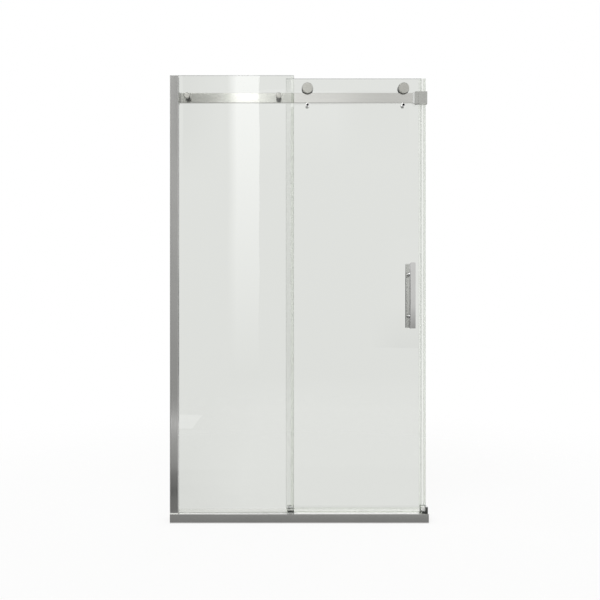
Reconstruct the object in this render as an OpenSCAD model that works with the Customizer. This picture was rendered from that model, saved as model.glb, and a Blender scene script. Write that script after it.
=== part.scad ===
// Sliding shower door for an alcove: fixed glass in a wall post, and a door hung from a flat header rail.
// X runs along the opening, -Y faces the room, +Z is up.
// The origin is on the underside of the sill, mid width, in the middle plane of the door glass.

/* [Opening] */
// Width of the opening, wall to wall
opening_w = 1156; // [1120:2:1190]
// Height from the underside of the sill to the top of the post
total_h = 2000; // [1900:5:2100]

/* [Glass] */
// Thickness of both panels
glass_t = 8; // [6:1:10]
// Width of the door glass
door_w = 615; // [590:1:630]
// Overlap of the closed door and the fixed panel
overlap = 35; // [30:1:45]
// Top of the fixed panel above the top of the post
fixed_top_rise = 4; // [0:0.5:8]
// Top of the door glass above the top of the post
door_top_rise = 5; // [0:0.5:10]
// Bottom edge of the door glass above the sill
door_bottom_gap = 5; // [5:0.2:9]
// Polished bevel round each panel
glass_bevel = 1; // [0.5:0.1:1.5]

/* [Sill] */
// Height of the sill
sill_h = 41; // [34:0.2:46]
// Wall of the extrusion
sill_wall = 2; // [1.6:0.1:2.6]
// Reach of the sill behind the middle plane of the door
sill_reach = 22; // [20:0.5:34]
// Depth of the glazing channel
channel_depth = 12; // [10:0.5:14]
// Height of the setting blocks
block_h = 4; // [3:0.5:5]

/* [Post] */
// Width of the post on the wall
post_w = 37; // [35:0.5:44]
// Depth of the post, front to back
post_d = 30; // [28:0.5:32]
// Wall of the post's extrusions
post_wall = 1.8; // [1.4:0.1:2.2]
// Reach of the wall channel into the room
wall_channel_reach = 20; // [16:0.5:21]
// Height of the pad between sill and post
foot_h = 5; // [4:0.2:9]
// Distance between the screws in the wall channel
wall_screw_pitch = 560; // [480:5:580]
// Radius of the wall screw holes
wall_hole_r = 2.75; // [2.25:0.05:3.25]

/* [Rail] */
// Height of the rail
rail_h = 44.4; // [40:0.2:50]
// Thickness of the rail
rail_t = 10; // [8:0.5:10]
// Top of the rail below the top of the post
rail_drop = 66.8; // [60:0.2:76]
// Gap between the rail and the door glass
rail_gap = 8; // [7.5:0.5:10]
// Gap between the rail and the fixed glass
standoff_gap = 18; // [17.5:0.5:24]

/* [Stand-offs] */
// Left stand-off, from the left wall
standoff_from_wall = 74.5; // [60:0.5:80]
// Right stand-off, from the free edge of the fixed panel
standoff_from_edge = 67.5; // [60:0.5:110]
// Radius of a cap
standoff_cap_r = 12.5; // [12:0.25:14]
// Height of a cap in front of its washer
standoff_cap_h = 11; // [8:0.5:13]
// Radius of a barrel
barrel_r = 11; // [9:0.25:11.5]

/* [Wheels] */
// Left wheel, from the left edge of the door
roller_inset_left = 97; // [80:1:130]
// Right wheel, from the right edge of the door
roller_inset_right = 84; // [80:1:110]
// Radius of the tread
tread_r = 19; // [17.5:0.25:20]
// Height of the flanges over the tread
flange_h = 6.5; // [4:0.25:7]
// Thickness of a flange
flange_t = 2.4; // [1.8:0.1:2.8]
// Radius of the front cap
roller_cap_r = 24; // [21:0.5:25]
// Thickness of the front cap
roller_cap_t = 10; // [8:0.25:10.5]
// Radius of the inner cap
inner_cap_r = 16; // [13:0.5:18]
// Radius of the anti-lift pins
lift_pin_r = 8; // [6:0.25:9]

/* [Handle] */
// Length of a pull bar
handle_l = 296; // [260:2:420]
// Width of a pull bar
handle_w = 24.5; // [24:0.5:30]
// Thickness of a pull bar
handle_t = 20; // [12:0.5:22]
// Reach of a bar's face from the glass
handle_reach = 60; // [56:1:70]
// Middle of the bars, from the right edge of the door
handle_inset = 48; // [40:1:60]
// Height of the middle of the bars
handle_z = 1017; // [900:5:1100]
// Distance between the handle bolts
handle_pitch = 192; // [160:2:220]

/* [Guides and brackets] */
// Width of the bottom guide
guide_w = 31; // [26:1:36]
// Height of the guides above the sill
guide_h = 19.5; // [18:0.5:26]
// Width of the corner guide
corner_w = 27; // [24:1:32]
// Height of the corner guide above the sill
corner_h = 25; // [22:0.2:32]
// Height of a rail bracket
bracket_h = 56; // [54:1:64]
// Length of the right bracket's sleeve
bracket_sleeve = 41; // [34:1:48]
// Reach of the open stop from the far wall, with its pad
stop_reach = 28.1; // [24:0.1:60]

/* [Hidden] */
$fn = 72;
eps = 1;

// Fasteners and small clearances
gasket_t = 1.5;
washer_t = 1;
sleeve_clear = 0.2;
stud_r = 4;
bolt_fit = 0.05;
telescope_gap = 0.3;
wheel_clear = 0.3;
rail_side_gap = 0.4;
pin_gap = 1.5;
head_fit = 0.15;
block_l = 50;
bolt_grip = 15;

// Planes across the opening
wall_x = opening_w / 2;
strike_reach = 21.6;
strike_gap = 1;
door_x1 = wall_x - strike_gap - strike_reach;
door_x0 = door_x1 - door_w;
fixed_x1 = door_x0 + overlap;

// Planes front to back
glass_half = glass_t / 2;
rail_y1 = -glass_half - rail_gap;
rail_y0 = rail_y1 - rail_t;
rail_mid = (rail_y0 + rail_y1) / 2;
fixed_y1 = rail_y0 - standoff_gap;
fixed_y0 = fixed_y1 - glass_t;
fixed_mid = (fixed_y0 + fixed_y1) / 2;
post_y0 = fixed_mid - post_d / 2;
post_y1 = fixed_mid + post_d / 2;
pocket_half = glass_half + gasket_t;

// Heights
sill_edge_r = 1;
sill_line_drop = 1.4;
sill_line_h = 1.3;
sill_line_d = 1.2;
fixed_z1 = total_h + fixed_top_rise;
fixed_z0 = sill_h - channel_depth + block_h;
door_z0 = sill_h + door_bottom_gap;
door_z1 = total_h + door_top_rise;
rail_z1 = total_h - rail_drop;
rail_z0 = rail_z1 - rail_h;
rail_z = (rail_z0 + rail_z1) / 2;
post_z0 = sill_h + foot_h;

// Post and wall channel
post_reveal = 3;
wall_channel_t = 2;
web_x = -wall_x + wall_channel_reach + 2;
post_x1 = -wall_x + post_w;
cap_t = 2;
post_z1 = total_h - cap_t;
fixed_x0 = web_x + post_wall + 2;
side_screw_r = 2;
side_screw_inset = 110;

// Fittings on the glass
standoff_xs = [-wall_x + standoff_from_wall, fixed_x1 - standoff_from_edge];
roller_xs = [door_x0 + roller_inset_left, door_x1 - roller_inset_right];
handle_x = door_x1 - handle_inset;
handle_zs = [handle_z - handle_pitch / 2, handle_z + handle_pitch / 2];
glass_bore_r = 8;
washer_r = 12;

// Wheels and bearings
wheel_z = rail_z1 + wheel_clear + tread_r;
flange_r = tread_r + flange_h;
wheel_half = rail_t / 2 + rail_side_gap + flange_t;
bearing_half = 3.5;
bearing_r = 11;
bearing_outer_wall = 2;
inner_ring_r = 6.2;
ball_r = 1.9;
ball_circle_r = (bearing_r - bearing_outer_wall + inner_ring_r) / 2;
ball_groove_r = ball_r + 0.12;
ball_count = 7;
hub_r = 6;
cap_boss_gap = 0.8;
roller_cap_y1 = rail_mid - wheel_half - cap_boss_gap;
roller_cap_y0 = roller_cap_y1 - roller_cap_t;
inner_cap_t = 9;
lift_pin_z = rail_z0 - pin_gap - lift_pin_r;
lift_pin_y0 = rail_y0 - 2.5;
lift_screw_r = 3;

// Guides, brackets and seals
slot_half = glass_half + 1.5;
liner_t = 2;
cheek_t = 5.5;
guide_base_t = 1.5;
sweep_wall = 1;
seal_wall = 1.2;
seal_grip = 10;
guide_x0 = fixed_x1 - guide_w + 2;
guide_y0 = fixed_y1 + 3;
guide_y1 = slot_half + liner_t + cheek_t;
guide_ledge_h = 8;
guide_screw_r = 2;
guide_screw_l = 12;
guide_head_r = 3.8;
guide_head_sink = 2.5;
corner_x0 = wall_x - corner_w;
corner_y0 = guide_y0 - 3;
corner_base_t = 4.5;
corner_leg_t = 10;
corner_slot_gap = 2;
stop_half = 7.5;
stop_y1 = 16;
stop_base_t = 6;
stop_pad_t = 3;
bracket_base_t = 14;
bracket_wall = 5;
bumper_t = 10;
rail_end_gap = 1;
left_sleeve = post_w - bracket_base_t - 1;
set_screw_r = 2.5;
bracket_holes = 36;
// The left edge of the open door stops just short of this face: 490 of travel at these sizes
stop_face_x = -wall_x + stop_reach;

// Cylinder along +Y from the plane y0 to the plane y1
module rod_y(x, y0, y1, z, r) {
  translate([x, y0, z]) rotate([-90, 0, 0]) cylinder(h = y1 - y0, r = r);
}

// Solid of revolution about +Y, its profile's second number along Y
module turn_y(x, z) {
  translate([x, 0, z]) rotate([-90, 0, 0]) rotate_extrude() children();
}

// Section in the YZ plane drawn out along X
module along_x(x0, x1) {
  translate([x0, 0, 0]) rotate([90, 0, 90]) linear_extrude(x1 - x0) children();
}

// Section in the XY plane drawn out along Z
module along_z(z0, z1) {
  translate([0, 0, z0]) linear_extrude(z1 - z0) children();
}

// Rectangle between two corners
module rect(x0, y0, x1, y1) {
  translate([x0, y0]) square([x1 - x0, y1 - y0]);
}

// Rectangle with round corners
module soft_rect(x0, y0, x1, y1, r) {
  rect(x0 + r, y0, x1 - r, y1);
  rect(x0, y0 + r, x1, y1 - r);
  for (x = [x0 + r, x1 - r], y = [y0 + r, y1 - r]) translate([x, y]) circle(r);
}

// Rectangle with cut corners
module cut_rect(x0, y0, x1, y1, c) {
  polygon([
    [x0 + c, y0], [x1 - c, y0], [x1, y0 + c], [x1, y1 - c],
    [x1 - c, y1], [x0 + c, y1], [x0, y1 - c], [x0, y0 + c],
  ]);
}

// Sheet of glass with a polished bevel on every edge
module glass_sheet(x0, x1, y0, y1, z0, z1) {
  intersection() {
    along_z(z0, z1) cut_rect(x0, y0, x1, y1, glass_bevel);
    along_x(x0, x1) cut_rect(y0, z0, y1, z1, glass_bevel);
  }
}

// Ring about +Y
module washer_y(x, y0, y1, z, r, hole_r) {
  difference() {
    rod_y(x, y0, y1, z, r);
    rod_y(x, y0 - eps, y1 + eps, z, hole_r);
  }
}

// Round cap about Y with an eased front edge; its face is at y_face and its back at y_back
module round_cap(x, y_face, y_back, z, r, ease) {
  s = sign(y_back - y_face);
  turn_y(x, z) polygon([
    [0, y_face], [r - ease, y_face], [r, y_face + s * ease], [r, y_back], [0, y_back],
  ]);
}

// Hexagon socket about Y
module hex_socket(x, y0, y1, z, r) {
  translate([x, y0, z]) rotate([-90, 0, 0]) cylinder(h = y1 - y0, r = r, $fn = 6);
}

module sill_section() {
  channel_z = sill_h - channel_depth;
  channel_y0 = fixed_mid - pocket_half;
  channel_y1 = fixed_mid + pocket_half;
  rib_y = -glass_half - 3;
  line_z1 = sill_h - sill_line_drop;
  w = sill_wall;
  difference() {
    soft_rect(post_y0, 0, sill_reach, sill_h, sill_edge_r);
    rect(post_y0 - eps, line_z1 - sill_line_h, post_y0 + sill_line_d, line_z1);
    rect(channel_y0, channel_z, channel_y1, sill_h + eps);
    rect(post_y0 + w, w, channel_y0 - w, sill_h - w);
    rect(channel_y0, w, channel_y1, channel_z - w);
    rect(channel_y1 + w, w, rib_y - w / 2, sill_h - w);
    rect(rib_y + w / 2, w, sill_reach - w, sill_h - w);
  }
}

module sill() {
  color("#7e7f7c") difference() {
    along_x(-wall_x, wall_x) sill_section();
    for (p = guide_screw_points()) translate([p[0], p[1], sill_h - sill_wall - eps])
      cylinder(h = sill_wall + 2 * eps, r = guide_screw_r + bolt_fit);
  }
}

module sill_filler() {
  half = pocket_half - sleeve_clear;
  z0 = sill_h - channel_depth;
  color("#8a8b88") along_x(fixed_x1 + seal_wall + 0.5, wall_x - 0.5) difference() {
    rect(fixed_mid - half, z0, fixed_mid + half, sill_h);
    rect(fixed_mid - half + 1.5, z0 - eps, fixed_mid + half - 1.5, sill_h - 1.5);
  }
}

module setting_blocks() {
  run = fixed_x1 - fixed_x0;
  color("#3a3a3a") for (x = [fixed_x0 + run / 4, fixed_x1 - run / 4])
    translate([x - block_l / 2, fixed_y0, sill_h - channel_depth]) cube([block_l, glass_t, block_h]);
}

module sill_gasket() {
  lip = 1;
  color("#d9ddda") for (side = [-1, 1]) {
    inner = fixed_mid + side * glass_half;
    outer = fixed_mid + side * pocket_half;
    along_x(fixed_x0, fixed_x1) rect(min(inner, outer), fixed_z0, max(inner, outer), sill_h + lip);
  }
}

module wall_channel() {
  half = post_d / 2 - post_wall - telescope_gap;
  t = wall_channel_t;
  mid_z = (post_z0 + post_z1) / 2;
  color("#9c9d9b") difference() {
    along_z(post_z0, post_z1) difference() {
      rect(-wall_x, fixed_mid - half, -wall_x + wall_channel_reach, fixed_mid + half);
      rect(-wall_x + t, fixed_mid - half + t, -wall_x + wall_channel_reach + eps, fixed_mid + half - t);
    }
    for (i = [-1.5:1:1.5]) translate([-wall_x - eps, fixed_mid, mid_z + i * wall_screw_pitch])
      rotate([0, 90, 0]) cylinder(h = t + 2 * eps, r = wall_hole_r);
    for (z = side_screw_zs()) rod_y(side_screw_x(), fixed_mid, post_y1, z, side_screw_r + bolt_fit);
  }
}

function side_screw_zs() =
  [post_z0 + side_screw_inset, (post_z0 + post_z1) / 2, post_z1 - side_screw_inset];
function side_screw_x() = -wall_x + wall_channel_reach / 2;

module jamb_profile() {
  w = post_wall;
  color("#a9a9a9") difference() {
    along_z(post_z0, post_z1) difference() {
      soft_rect(-wall_x + post_reveal, post_y0, post_x1, post_y1, 1.2);
      rect(-wall_x, post_y0 + w, web_x, post_y1 - w);
      rect(web_x + w, fixed_mid - pocket_half, post_x1 + eps, fixed_mid + pocket_half);
      rect(web_x + w, post_y0 + w, post_x1 - w, fixed_mid - pocket_half - w);
      rect(web_x + w, fixed_mid + pocket_half + w, post_x1 - w, post_y1 - w);
    }
    for (z = side_screw_zs())
      rod_y(side_screw_x(), post_y1 - w - eps, post_y1 + eps, z, side_screw_r + bolt_fit);
  }
}

module jamb_gasket() {
  color("#d9ddda") for (side = [-1, 1]) {
    inner = fixed_mid + side * glass_half;
    outer = fixed_mid + side * pocket_half;
    along_z(post_z0, total_h) rect(fixed_x0, min(inner, outer), post_x1, max(inner, outer));
  }
}

module jamb_cap() {
  spigot = 8;
  gap = 0.3;
  w = post_wall;
  color("#b4b4b2") {
    along_z(post_z1, total_h) difference() {
      soft_rect(-wall_x, post_y0, post_x1, post_y1, 1.2);
      rect(fixed_x0 - gap, fixed_mid - pocket_half, post_x1 + eps, fixed_mid + pocket_half);
    }
    for (y = [[post_y0 + w, fixed_mid - pocket_half - w], [fixed_mid + pocket_half + w, post_y1 - w]])
      along_z(post_z1 - spigot, post_z1 + 0.5)
        rect(web_x + w + gap, y[0] + gap, post_x1 - w - gap, y[1] - gap);
  }
}

module jamb_foot() {
  color("#e8e9e6") along_z(sill_h, post_z0) difference() {
    soft_rect(-wall_x, post_y0 + 0.6, post_x1 - 0.6, post_y1 - 0.6, 1);
    rect(fixed_x0 - 0.5, fixed_mid - pocket_half, post_x1 + eps, fixed_mid + pocket_half);
  }
}

// Pan-head screws from the wet side through the jamb into the wall channel
module jamb_screws() {
  head_h = 2;
  color("#b9bab8") for (z = side_screw_zs()) {
    rod_y(side_screw_x(), post_y1 - post_wall - telescope_gap - 4, post_y1, z, side_screw_r);
    round_cap(side_screw_x(), post_y1 + head_h, post_y1, z, 3.6, 0.8);
  }
}

module fixed_panel() {
  color("#cfe3da", 0.4) difference() {
    glass_sheet(fixed_x0, fixed_x1, fixed_y0, fixed_y1, fixed_z0, fixed_z1);
    for (x = standoff_xs) rod_y(x, fixed_y0 - eps, fixed_y1 + eps, rail_z, glass_bore_r);
  }
}

// Clear edge seal with a fin that leans towards the door glass, below the anti-lift pins
module fixed_panel_seal() {
  grip = seal_grip + 3;
  w = seal_wall;
  fin_tip_y = -glass_half - 0.4;
  fin_lean = 14;
  fin_t = 1;
  z0 = sill_h + guide_h + 2;
  color("#dfe8e4", 0.6) {
    along_z(z0, fixed_z1 - 2) difference() {
      rect(fixed_x1 - grip, fixed_y0 - w, fixed_x1 + w, fixed_y1 + w);
      rect(fixed_x1 - grip - eps, fixed_y0, fixed_x1, fixed_y1);
    }
    along_z(z0, lift_pin_z - lift_pin_r - 4) polygon([
      [fixed_x1 - fin_t, fixed_y1 + w], [fixed_x1 + w, fixed_y1 + w],
      [fixed_x1 - fin_lean + fin_t, fin_tip_y], [fixed_x1 - fin_lean, fin_tip_y],
    ]);
  }
}

module header_rail() {
  x0 = -wall_x + bracket_base_t + rail_end_gap;
  color("#c2c3c0") difference() {
    along_x(x0, -x0) soft_rect(rail_y0, rail_z0, rail_y1, rail_z1, 1.5);
    for (x = standoff_xs) {
      rod_y(x, rail_y0 - eps, rail_y1 + eps, rail_z, stud_r + bolt_fit);
      countersink(x, rail_y1 + 0.01, head_fit);
    }
  }
}

// Cone of a countersunk head whose flat face is at y_face, its point towards -Y
module countersink(x, y_face, extra) {
  turn_y(x, rail_z) polygon([
    [0, y_face], [2 * stud_r + extra, y_face], [stud_r + extra, y_face - stud_r], [0, y_face - stud_r],
  ]);
}

module rail_screws() {
  grip = 8;
  color("#c9cac8") for (x = standoff_xs) difference() {
    union() {
      rod_y(x, rail_y0 - grip, rail_y1 - stud_r, rail_z, stud_r);
      countersink(x, rail_y1 - 0.05, 0);
    }
    hex_socket(x, rail_y1 - 2.5, rail_y1 + eps, rail_z, 2.9);
  }
}

// Black barrels with eased ends and two turned lines
module standoff_barrels() {
  y0 = fixed_y1 + washer_t;
  line_d = 0.5;
  color("#2a2a2a") for (x = standoff_xs) difference() {
    turn_y(x, rail_z) difference() {
      polygon([
        [0, y0], [barrel_r - 0.6, y0], [barrel_r, y0 + 0.6],
        [barrel_r, rail_y0 - 0.6], [barrel_r - 0.6, rail_y0], [0, rail_y0],
      ]);
      for (y = [y0 + 4, rail_y0 - 4]) rect(barrel_r - line_d, y - 0.5, barrel_r + eps, y + 0.5);
    }
    rod_y(x, y0 - eps, rail_y0 + eps, rail_z, stud_r + bolt_fit);
  }
}

module standoff_washers() {
  color("#e4e6e4") for (x = standoff_xs, y = [fixed_y0 - washer_t, fixed_y1])
    washer_y(x, y, y + washer_t, rail_z, min(washer_r, standoff_cap_r - 0.5), stud_r + bolt_fit);
}

module standoff_sleeves() {
  color("#eeeeec") for (x = standoff_xs)
    washer_y(x, fixed_y0, fixed_y1, rail_z, glass_bore_r - bolt_fit, stud_r + bolt_fit);
}

module standoff_caps() {
  y_back = fixed_y0 - washer_t;
  color("#d6d7d5") for (x = standoff_xs) {
    turn_y(x, rail_z) polygon([
      [0, y_back - standoff_cap_h], [standoff_cap_r - 2, y_back - standoff_cap_h],
      [standoff_cap_r - 0.7, y_back - standoff_cap_h + 0.5], [standoff_cap_r, y_back - standoff_cap_h + 2],
      [standoff_cap_r, y_back - 0.6], [standoff_cap_r - 0.6, y_back], [0, y_back],
    ]);
    rod_y(x, y_back - eps, fixed_y1 + washer_t + 7, rail_z, stud_r);
  }
}

// Wall block of a rail bracket; side is 1 at the right wall and -1 at the left
module bracket_base(side) {
  x0 = min(side * wall_x, side * (wall_x - bracket_base_t));
  difference() {
    along_x(x0, x0 + bracket_base_t)
      soft_rect(rail_y0 - bracket_wall, rail_z - bracket_h / 2, rail_y1 + bracket_wall,
                rail_z + bracket_h / 2, 1);
    for (z = [-1, 1] * bracket_holes / 2) translate([x0 - eps, rail_mid, rail_z + z]) rotate([0, 90, 0])
      cylinder(h = bracket_base_t + 2 * eps, r = wall_hole_r);
  }
}

// Sleeve of a rail bracket, drilled from below for its set screw
module bracket_sleeve_piece(x0, x1) {
  difference() {
    along_x(x0, x1) difference() {
      soft_rect(rail_y0 - bracket_wall, rail_z - bracket_h / 2, rail_y1 + bracket_wall,
                rail_z + bracket_h / 2, 2);
      soft_rect(rail_y0, rail_z0, rail_y1, rail_z1, 1.5);
    }
    translate([(x0 + x1) / 2, rail_mid, rail_z - bracket_h / 2 - eps])
      cylinder(h = (bracket_h - rail_h) / 2 + 2 * eps, r = set_screw_r + bolt_fit);
  }
}

module bracket_base_right() { color("#8f908e") bracket_base(1); }

module bracket_base_left() { color("#8f908e") bracket_base(-1); }

// The right sleeve has a shallow groove that sets off its collar
module rail_bracket_right() {
  x1 = wall_x - bracket_base_t;
  x0 = x1 - bracket_sleeve;
  collar = 13;
  groove = 1;
  color("#adaeaa") difference() {
    bracket_sleeve_piece(x0, x1);
    along_x(x0 + collar, x0 + collar + 2 * groove) difference() {
      rect(rail_y0 - bracket_wall - eps, rail_z - bracket_h,
           rail_y1 + bracket_wall + eps, rail_z + bracket_h);
      rect(rail_y0 - bracket_wall + groove, rail_z - bracket_h / 2 + groove,
           rail_y1 + bracket_wall - groove, rail_z + bracket_h / 2 - groove);
    }
  }
}

module rail_bracket_left() {
  x0 = -wall_x + bracket_base_t;
  color("#adaeaa") bracket_sleeve_piece(x0, x0 + left_sleeve);
}

module bracket_set_screws() {
  right_mid = wall_x - bracket_base_t - bracket_sleeve / 2;
  left_mid = -wall_x + bracket_base_t + left_sleeve / 2;
  z0 = rail_z - bracket_h / 2;
  color("#777877") for (x = [left_mid, right_mid]) difference() {
    translate([x, rail_mid, z0 + 0.5]) cylinder(h = rail_z0 - z0 - 0.5, r = set_screw_r);
    translate([x, rail_mid, z0]) cylinder(h = 3, r = 1.4, $fn = 6);
  }
}

// Rubber bumper that takes the wheel at the closed end
module rail_bumper() {
  x1 = wall_x - bracket_base_t - bracket_sleeve;
  r = 2;
  lap = 3;
  color("#e2e3e0") along_x(x1 - bumper_t, x1) difference() {
    soft_rect(rail_y0 - lap, rail_z0 - lap, rail_y1 + lap, rail_z1 + lap, r);
    soft_rect(rail_y0, rail_z0, rail_y1, rail_z1, 1.5);
  }
}

// Places of the screws that hold the bottom guide, the corner guide and the open stop to the sill
function guide_screw_points() = [
  [guide_x0 + 8, guide_y0 + 11],
  [guide_x0 + guide_w - 8, guide_y0 + 11],
  [corner_x0 + 9, corner_y0 + 8],
  [-wall_x + 9, stop_y1 - 4],
];

// Counterbored hole through a guide whose top is at z_top
module guide_hole(p, z_top) {
  translate([p[0], p[1], sill_h - eps]) cylinder(h = z_top - sill_h + 2 * eps, r = guide_screw_r + bolt_fit);
  translate([p[0], p[1], z_top - guide_head_sink]) cylinder(h = guide_h, r = guide_head_r + sleeve_clear);
}

module guide_screw(p, z_top) {
  z0 = z_top - guide_head_sink;
  translate([p[0], p[1], z0 - guide_screw_l]) cylinder(h = guide_screw_l, r = guide_screw_r);
  difference() {
    translate([p[0], p[1], z0]) cylinder(h = 2, r = guide_head_r);
    translate([p[0], p[1], z0 + 0.7]) cylinder(h = 2, r = 1.8, $fn = 6);
  }
}

// Block with a slot for the door glass; it sits behind the corner of the fixed panel
module bottom_guide() {
  top = sill_h + guide_h;
  half = slot_half + liner_t;
  ledge = sill_h + guide_ledge_h;
  groove_z = ledge + 1.5;
  color("#6f706e") difference() {
    along_x(guide_x0, guide_x0 + guide_w) difference() {
      polygon([
        [guide_y0, sill_h], [guide_y1, sill_h], [guide_y1, top - 2], [guide_y1 - 2, top],
        [guide_y0 + 3, top], [guide_y0, top - 3],
      ]);
      rect(-half, sill_h + guide_base_t, half, top + eps);
      rect(guide_y0 - eps, groove_z, guide_y0 + 1.2, groove_z + 3);
    }
    for (i = [0, 1]) guide_hole(guide_screw_points()[i], ledge);
  }
}

module guide_liners() {
  half = slot_half + liner_t;
  z0 = sill_h + guide_base_t;
  color("#f2f2f0") for (side = [-1, 1])
    along_x(guide_x0, guide_x0 + guide_w)
      rect(min(side * slot_half, side * half), z0, max(side * slot_half, side * half), sill_h + guide_h - 2);
}

module guide_screws() {
  color("#b9bab8") for (i = [0, 1]) guide_screw(guide_screw_points()[i], sill_h + guide_ledge_h);
}

// Angle of the corner guide: a low base on the sill, a leg on the wall and a rear cheek past the slot
module corner_guide() {
  half = slot_half + corner_slot_gap;
  color("#5c5d5b") difference() {
    union() {
      translate([corner_x0, corner_y0, sill_h]) cube([corner_w, -half - corner_y0, corner_base_t]);
      translate([wall_x - corner_leg_t, corner_y0, sill_h])
        cube([corner_leg_t, -half - corner_y0, corner_h]);
      translate([corner_x0, -half - eps, sill_h]) cube([corner_w, 2 * half + 2 * eps, guide_base_t]);
      translate([corner_x0, half, sill_h]) cube([corner_w, cheek_t, corner_h * 0.8]);
    }
    guide_hole(guide_screw_points()[2], sill_h + corner_base_t);
  }
}

// White block in the angle that steers the corner of the door
module corner_insert() {
  half = slot_half + corner_slot_gap;
  x1 = wall_x - corner_leg_t;
  x0 = corner_x0 + 2;
  z0 = sill_h + corner_base_t;
  insert_h = corner_h - corner_base_t - 3;
  y0 = guide_screw_points()[2][1] + guide_head_r + 1;
  corner_r = 3;
  color("#f0f1ee") translate([0, -half, 0]) rotate([90, 0, 0]) linear_extrude(-half - y0) {
    rect(x0, z0, x1, z0 + insert_h - corner_r);
    rect(x0 + corner_r, z0, x1, z0 + insert_h);
    translate([x0 + corner_r, z0 + insert_h - corner_r]) circle(corner_r);
  }
}

module corner_screws() {
  color("#b9bab8") {
    guide_screw(guide_screw_points()[2], sill_h + corner_base_t);
    guide_screw(guide_screw_points()[3], sill_h + stop_base_t);
  }
}

// Stop block on the far wall, behind the post, for the corner of the open door
module open_stop() {
  length = stop_face_x - stop_pad_t + wall_x;
  color("#6f706e") difference() {
    union() {
      translate([-wall_x, -stop_half, sill_h]) cube([length, stop_half + stop_y1, stop_base_t]);
      translate([-wall_x, -stop_half, sill_h]) cube([length, 2 * stop_half, guide_h]);
    }
    guide_hole(guide_screw_points()[3], sill_h + stop_base_t);
  }
}

module open_stop_pad() {
  color("#2f2f2f") translate([stop_face_x - stop_pad_t, 2 - stop_half, sill_h + 2])
    cube([stop_pad_t, 2 * stop_half - 4, guide_h - 4]);
}

module door_panel() {
  color("#cfe3da", 0.4) difference() {
    glass_sheet(door_x0, door_x1, -glass_half, glass_half, door_z0, door_z1);
    for (p = door_bores()) rod_y(p[0], -glass_half - eps, glass_half + eps, p[1], glass_bore_r);
  }
}

// Places of the six bores in the door glass: wheels, anti-lift pins, handle
function door_bores() = concat(
  [for (x = roller_xs) [x, wheel_z]],
  [for (x = roller_xs) [x, lift_pin_z]],
  [for (z = handle_zs) [handle_x, z]]
);

module glass_sleeves() {
  color("#eeeeec") for (i = [0:5]) {
    p = door_bores()[i];
    r = i == 2 || i == 3 ? lift_screw_r : stud_r;
    washer_y(p[0], -glass_half, glass_half, p[1], glass_bore_r - bolt_fit, r + bolt_fit);
  }
}

// Clear seal on the closing edge: a grip round the glass, a stem and a hollow bulb
module strike_seal() {
  w = seal_wall;
  bulb_r = 6;
  bulb_x = door_x1 + strike_reach - bulb_r;
  color("#dfe8e4", 0.6) along_z(door_z0, door_z1) difference() {
    union() {
      rect(door_x1 - seal_grip, -glass_half - w, door_x1 + w, glass_half + w);
      rect(door_x1, -1.2, bulb_x, 1.2);
      translate([bulb_x, 0]) circle(bulb_r);
    }
    rect(door_x1 - seal_grip - eps, -glass_half, door_x1, glass_half);
    translate([bulb_x, 0]) circle(bulb_r - w);
  }
}

// Clear sweep on the bottom edge, with two lips just over the guides
module door_sweep() {
  w = sweep_wall;
  half = glass_half + w;
  lip_z = sill_h + guide_base_t + 0.5;
  color("#dfe8e4", 0.6) along_x(door_x0 + 1, door_x1 - seal_grip - 0.5) difference() {
    rect(-half, lip_z, half, door_z0 + 7);
    rect(-glass_half, door_z0, glass_half, door_z0 + 7 + eps);
    rect(-half + w, lip_z - eps, half - w, door_z0 - w);
  }
}

module roller_axles() {
  color("#c9cac8") for (x = roller_xs)
    rod_y(x, roller_cap_y1 - 5, glass_half + washer_t + 5, wheel_z, stud_r);
}

module roller_washers() {
  color("#e4e6e4") for (x = roller_xs, y = [-glass_half - washer_t, glass_half])
    washer_y(x, y, y + washer_t, wheel_z, washer_r, stud_r + bolt_fit);
}

module roller_spacers() {
  color("#c9cac8") for (x = roller_xs)
    washer_y(x, rail_mid + bearing_half, -glass_half - washer_t, wheel_z, hub_r, stud_r + bolt_fit);
}

// Half section of a bearing ring between two radii, less the track of the balls
module ring_section(r0, r1) {
  difference() {
    rect(r0, rail_mid - bearing_half, r1, rail_mid + bearing_half);
    translate([ball_circle_r, rail_mid]) circle(ball_groove_r);
  }
}

module bearing_inner_rings() {
  color("#c9cac8") for (x = roller_xs)
    turn_y(x, wheel_z) ring_section(stud_r + bolt_fit, inner_ring_r);
}

// Front cap: a satin disc with a boss that holds the bearing's inner ring
module roller_caps() {
  ease = 1;
  r = roller_cap_r;
  color("#b3b3ad") for (x = roller_xs) difference() {
    turn_y(x, wheel_z) polygon([
      [0, roller_cap_y0], [r - ease, roller_cap_y0], [r, roller_cap_y0 + ease],
      [r, roller_cap_y1 - ease / 2], [r - ease / 2, roller_cap_y1], [hub_r, roller_cap_y1],
      [hub_r, rail_mid - bearing_half], [0, rail_mid - bearing_half],
    ]);
    rod_y(x, roller_cap_y1 - 6, rail_mid, wheel_z, stud_r + bolt_fit);
  }
}

module roller_inner_caps() {
  y0 = glass_half + washer_t;
  color("#b3b3ad") for (x = roller_xs) difference() {
    round_cap(x, y0 + inner_cap_t, y0, wheel_z, inner_cap_r, 1.2);
    rod_y(x, y0 - eps, y0 + 6, wheel_z, stud_r + bolt_fit);
    hex_socket(x, y0 + inner_cap_t - 2.5, y0 + inner_cap_t + eps, wheel_z, 3.4);
  }
}

module anti_lift_pins() {
  color("#bcbdba") for (x = roller_xs) difference() {
    round_cap(x, lift_pin_y0, -glass_half - washer_t, lift_pin_z, lift_pin_r, 1);
    hex_socket(x, lift_pin_y0 - eps, lift_pin_y0 + 3.5, lift_pin_z, 3.4);
    rod_y(x, -glass_half - washer_t - 12, 0, lift_pin_z, lift_screw_r + bolt_fit);
  }
}

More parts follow.
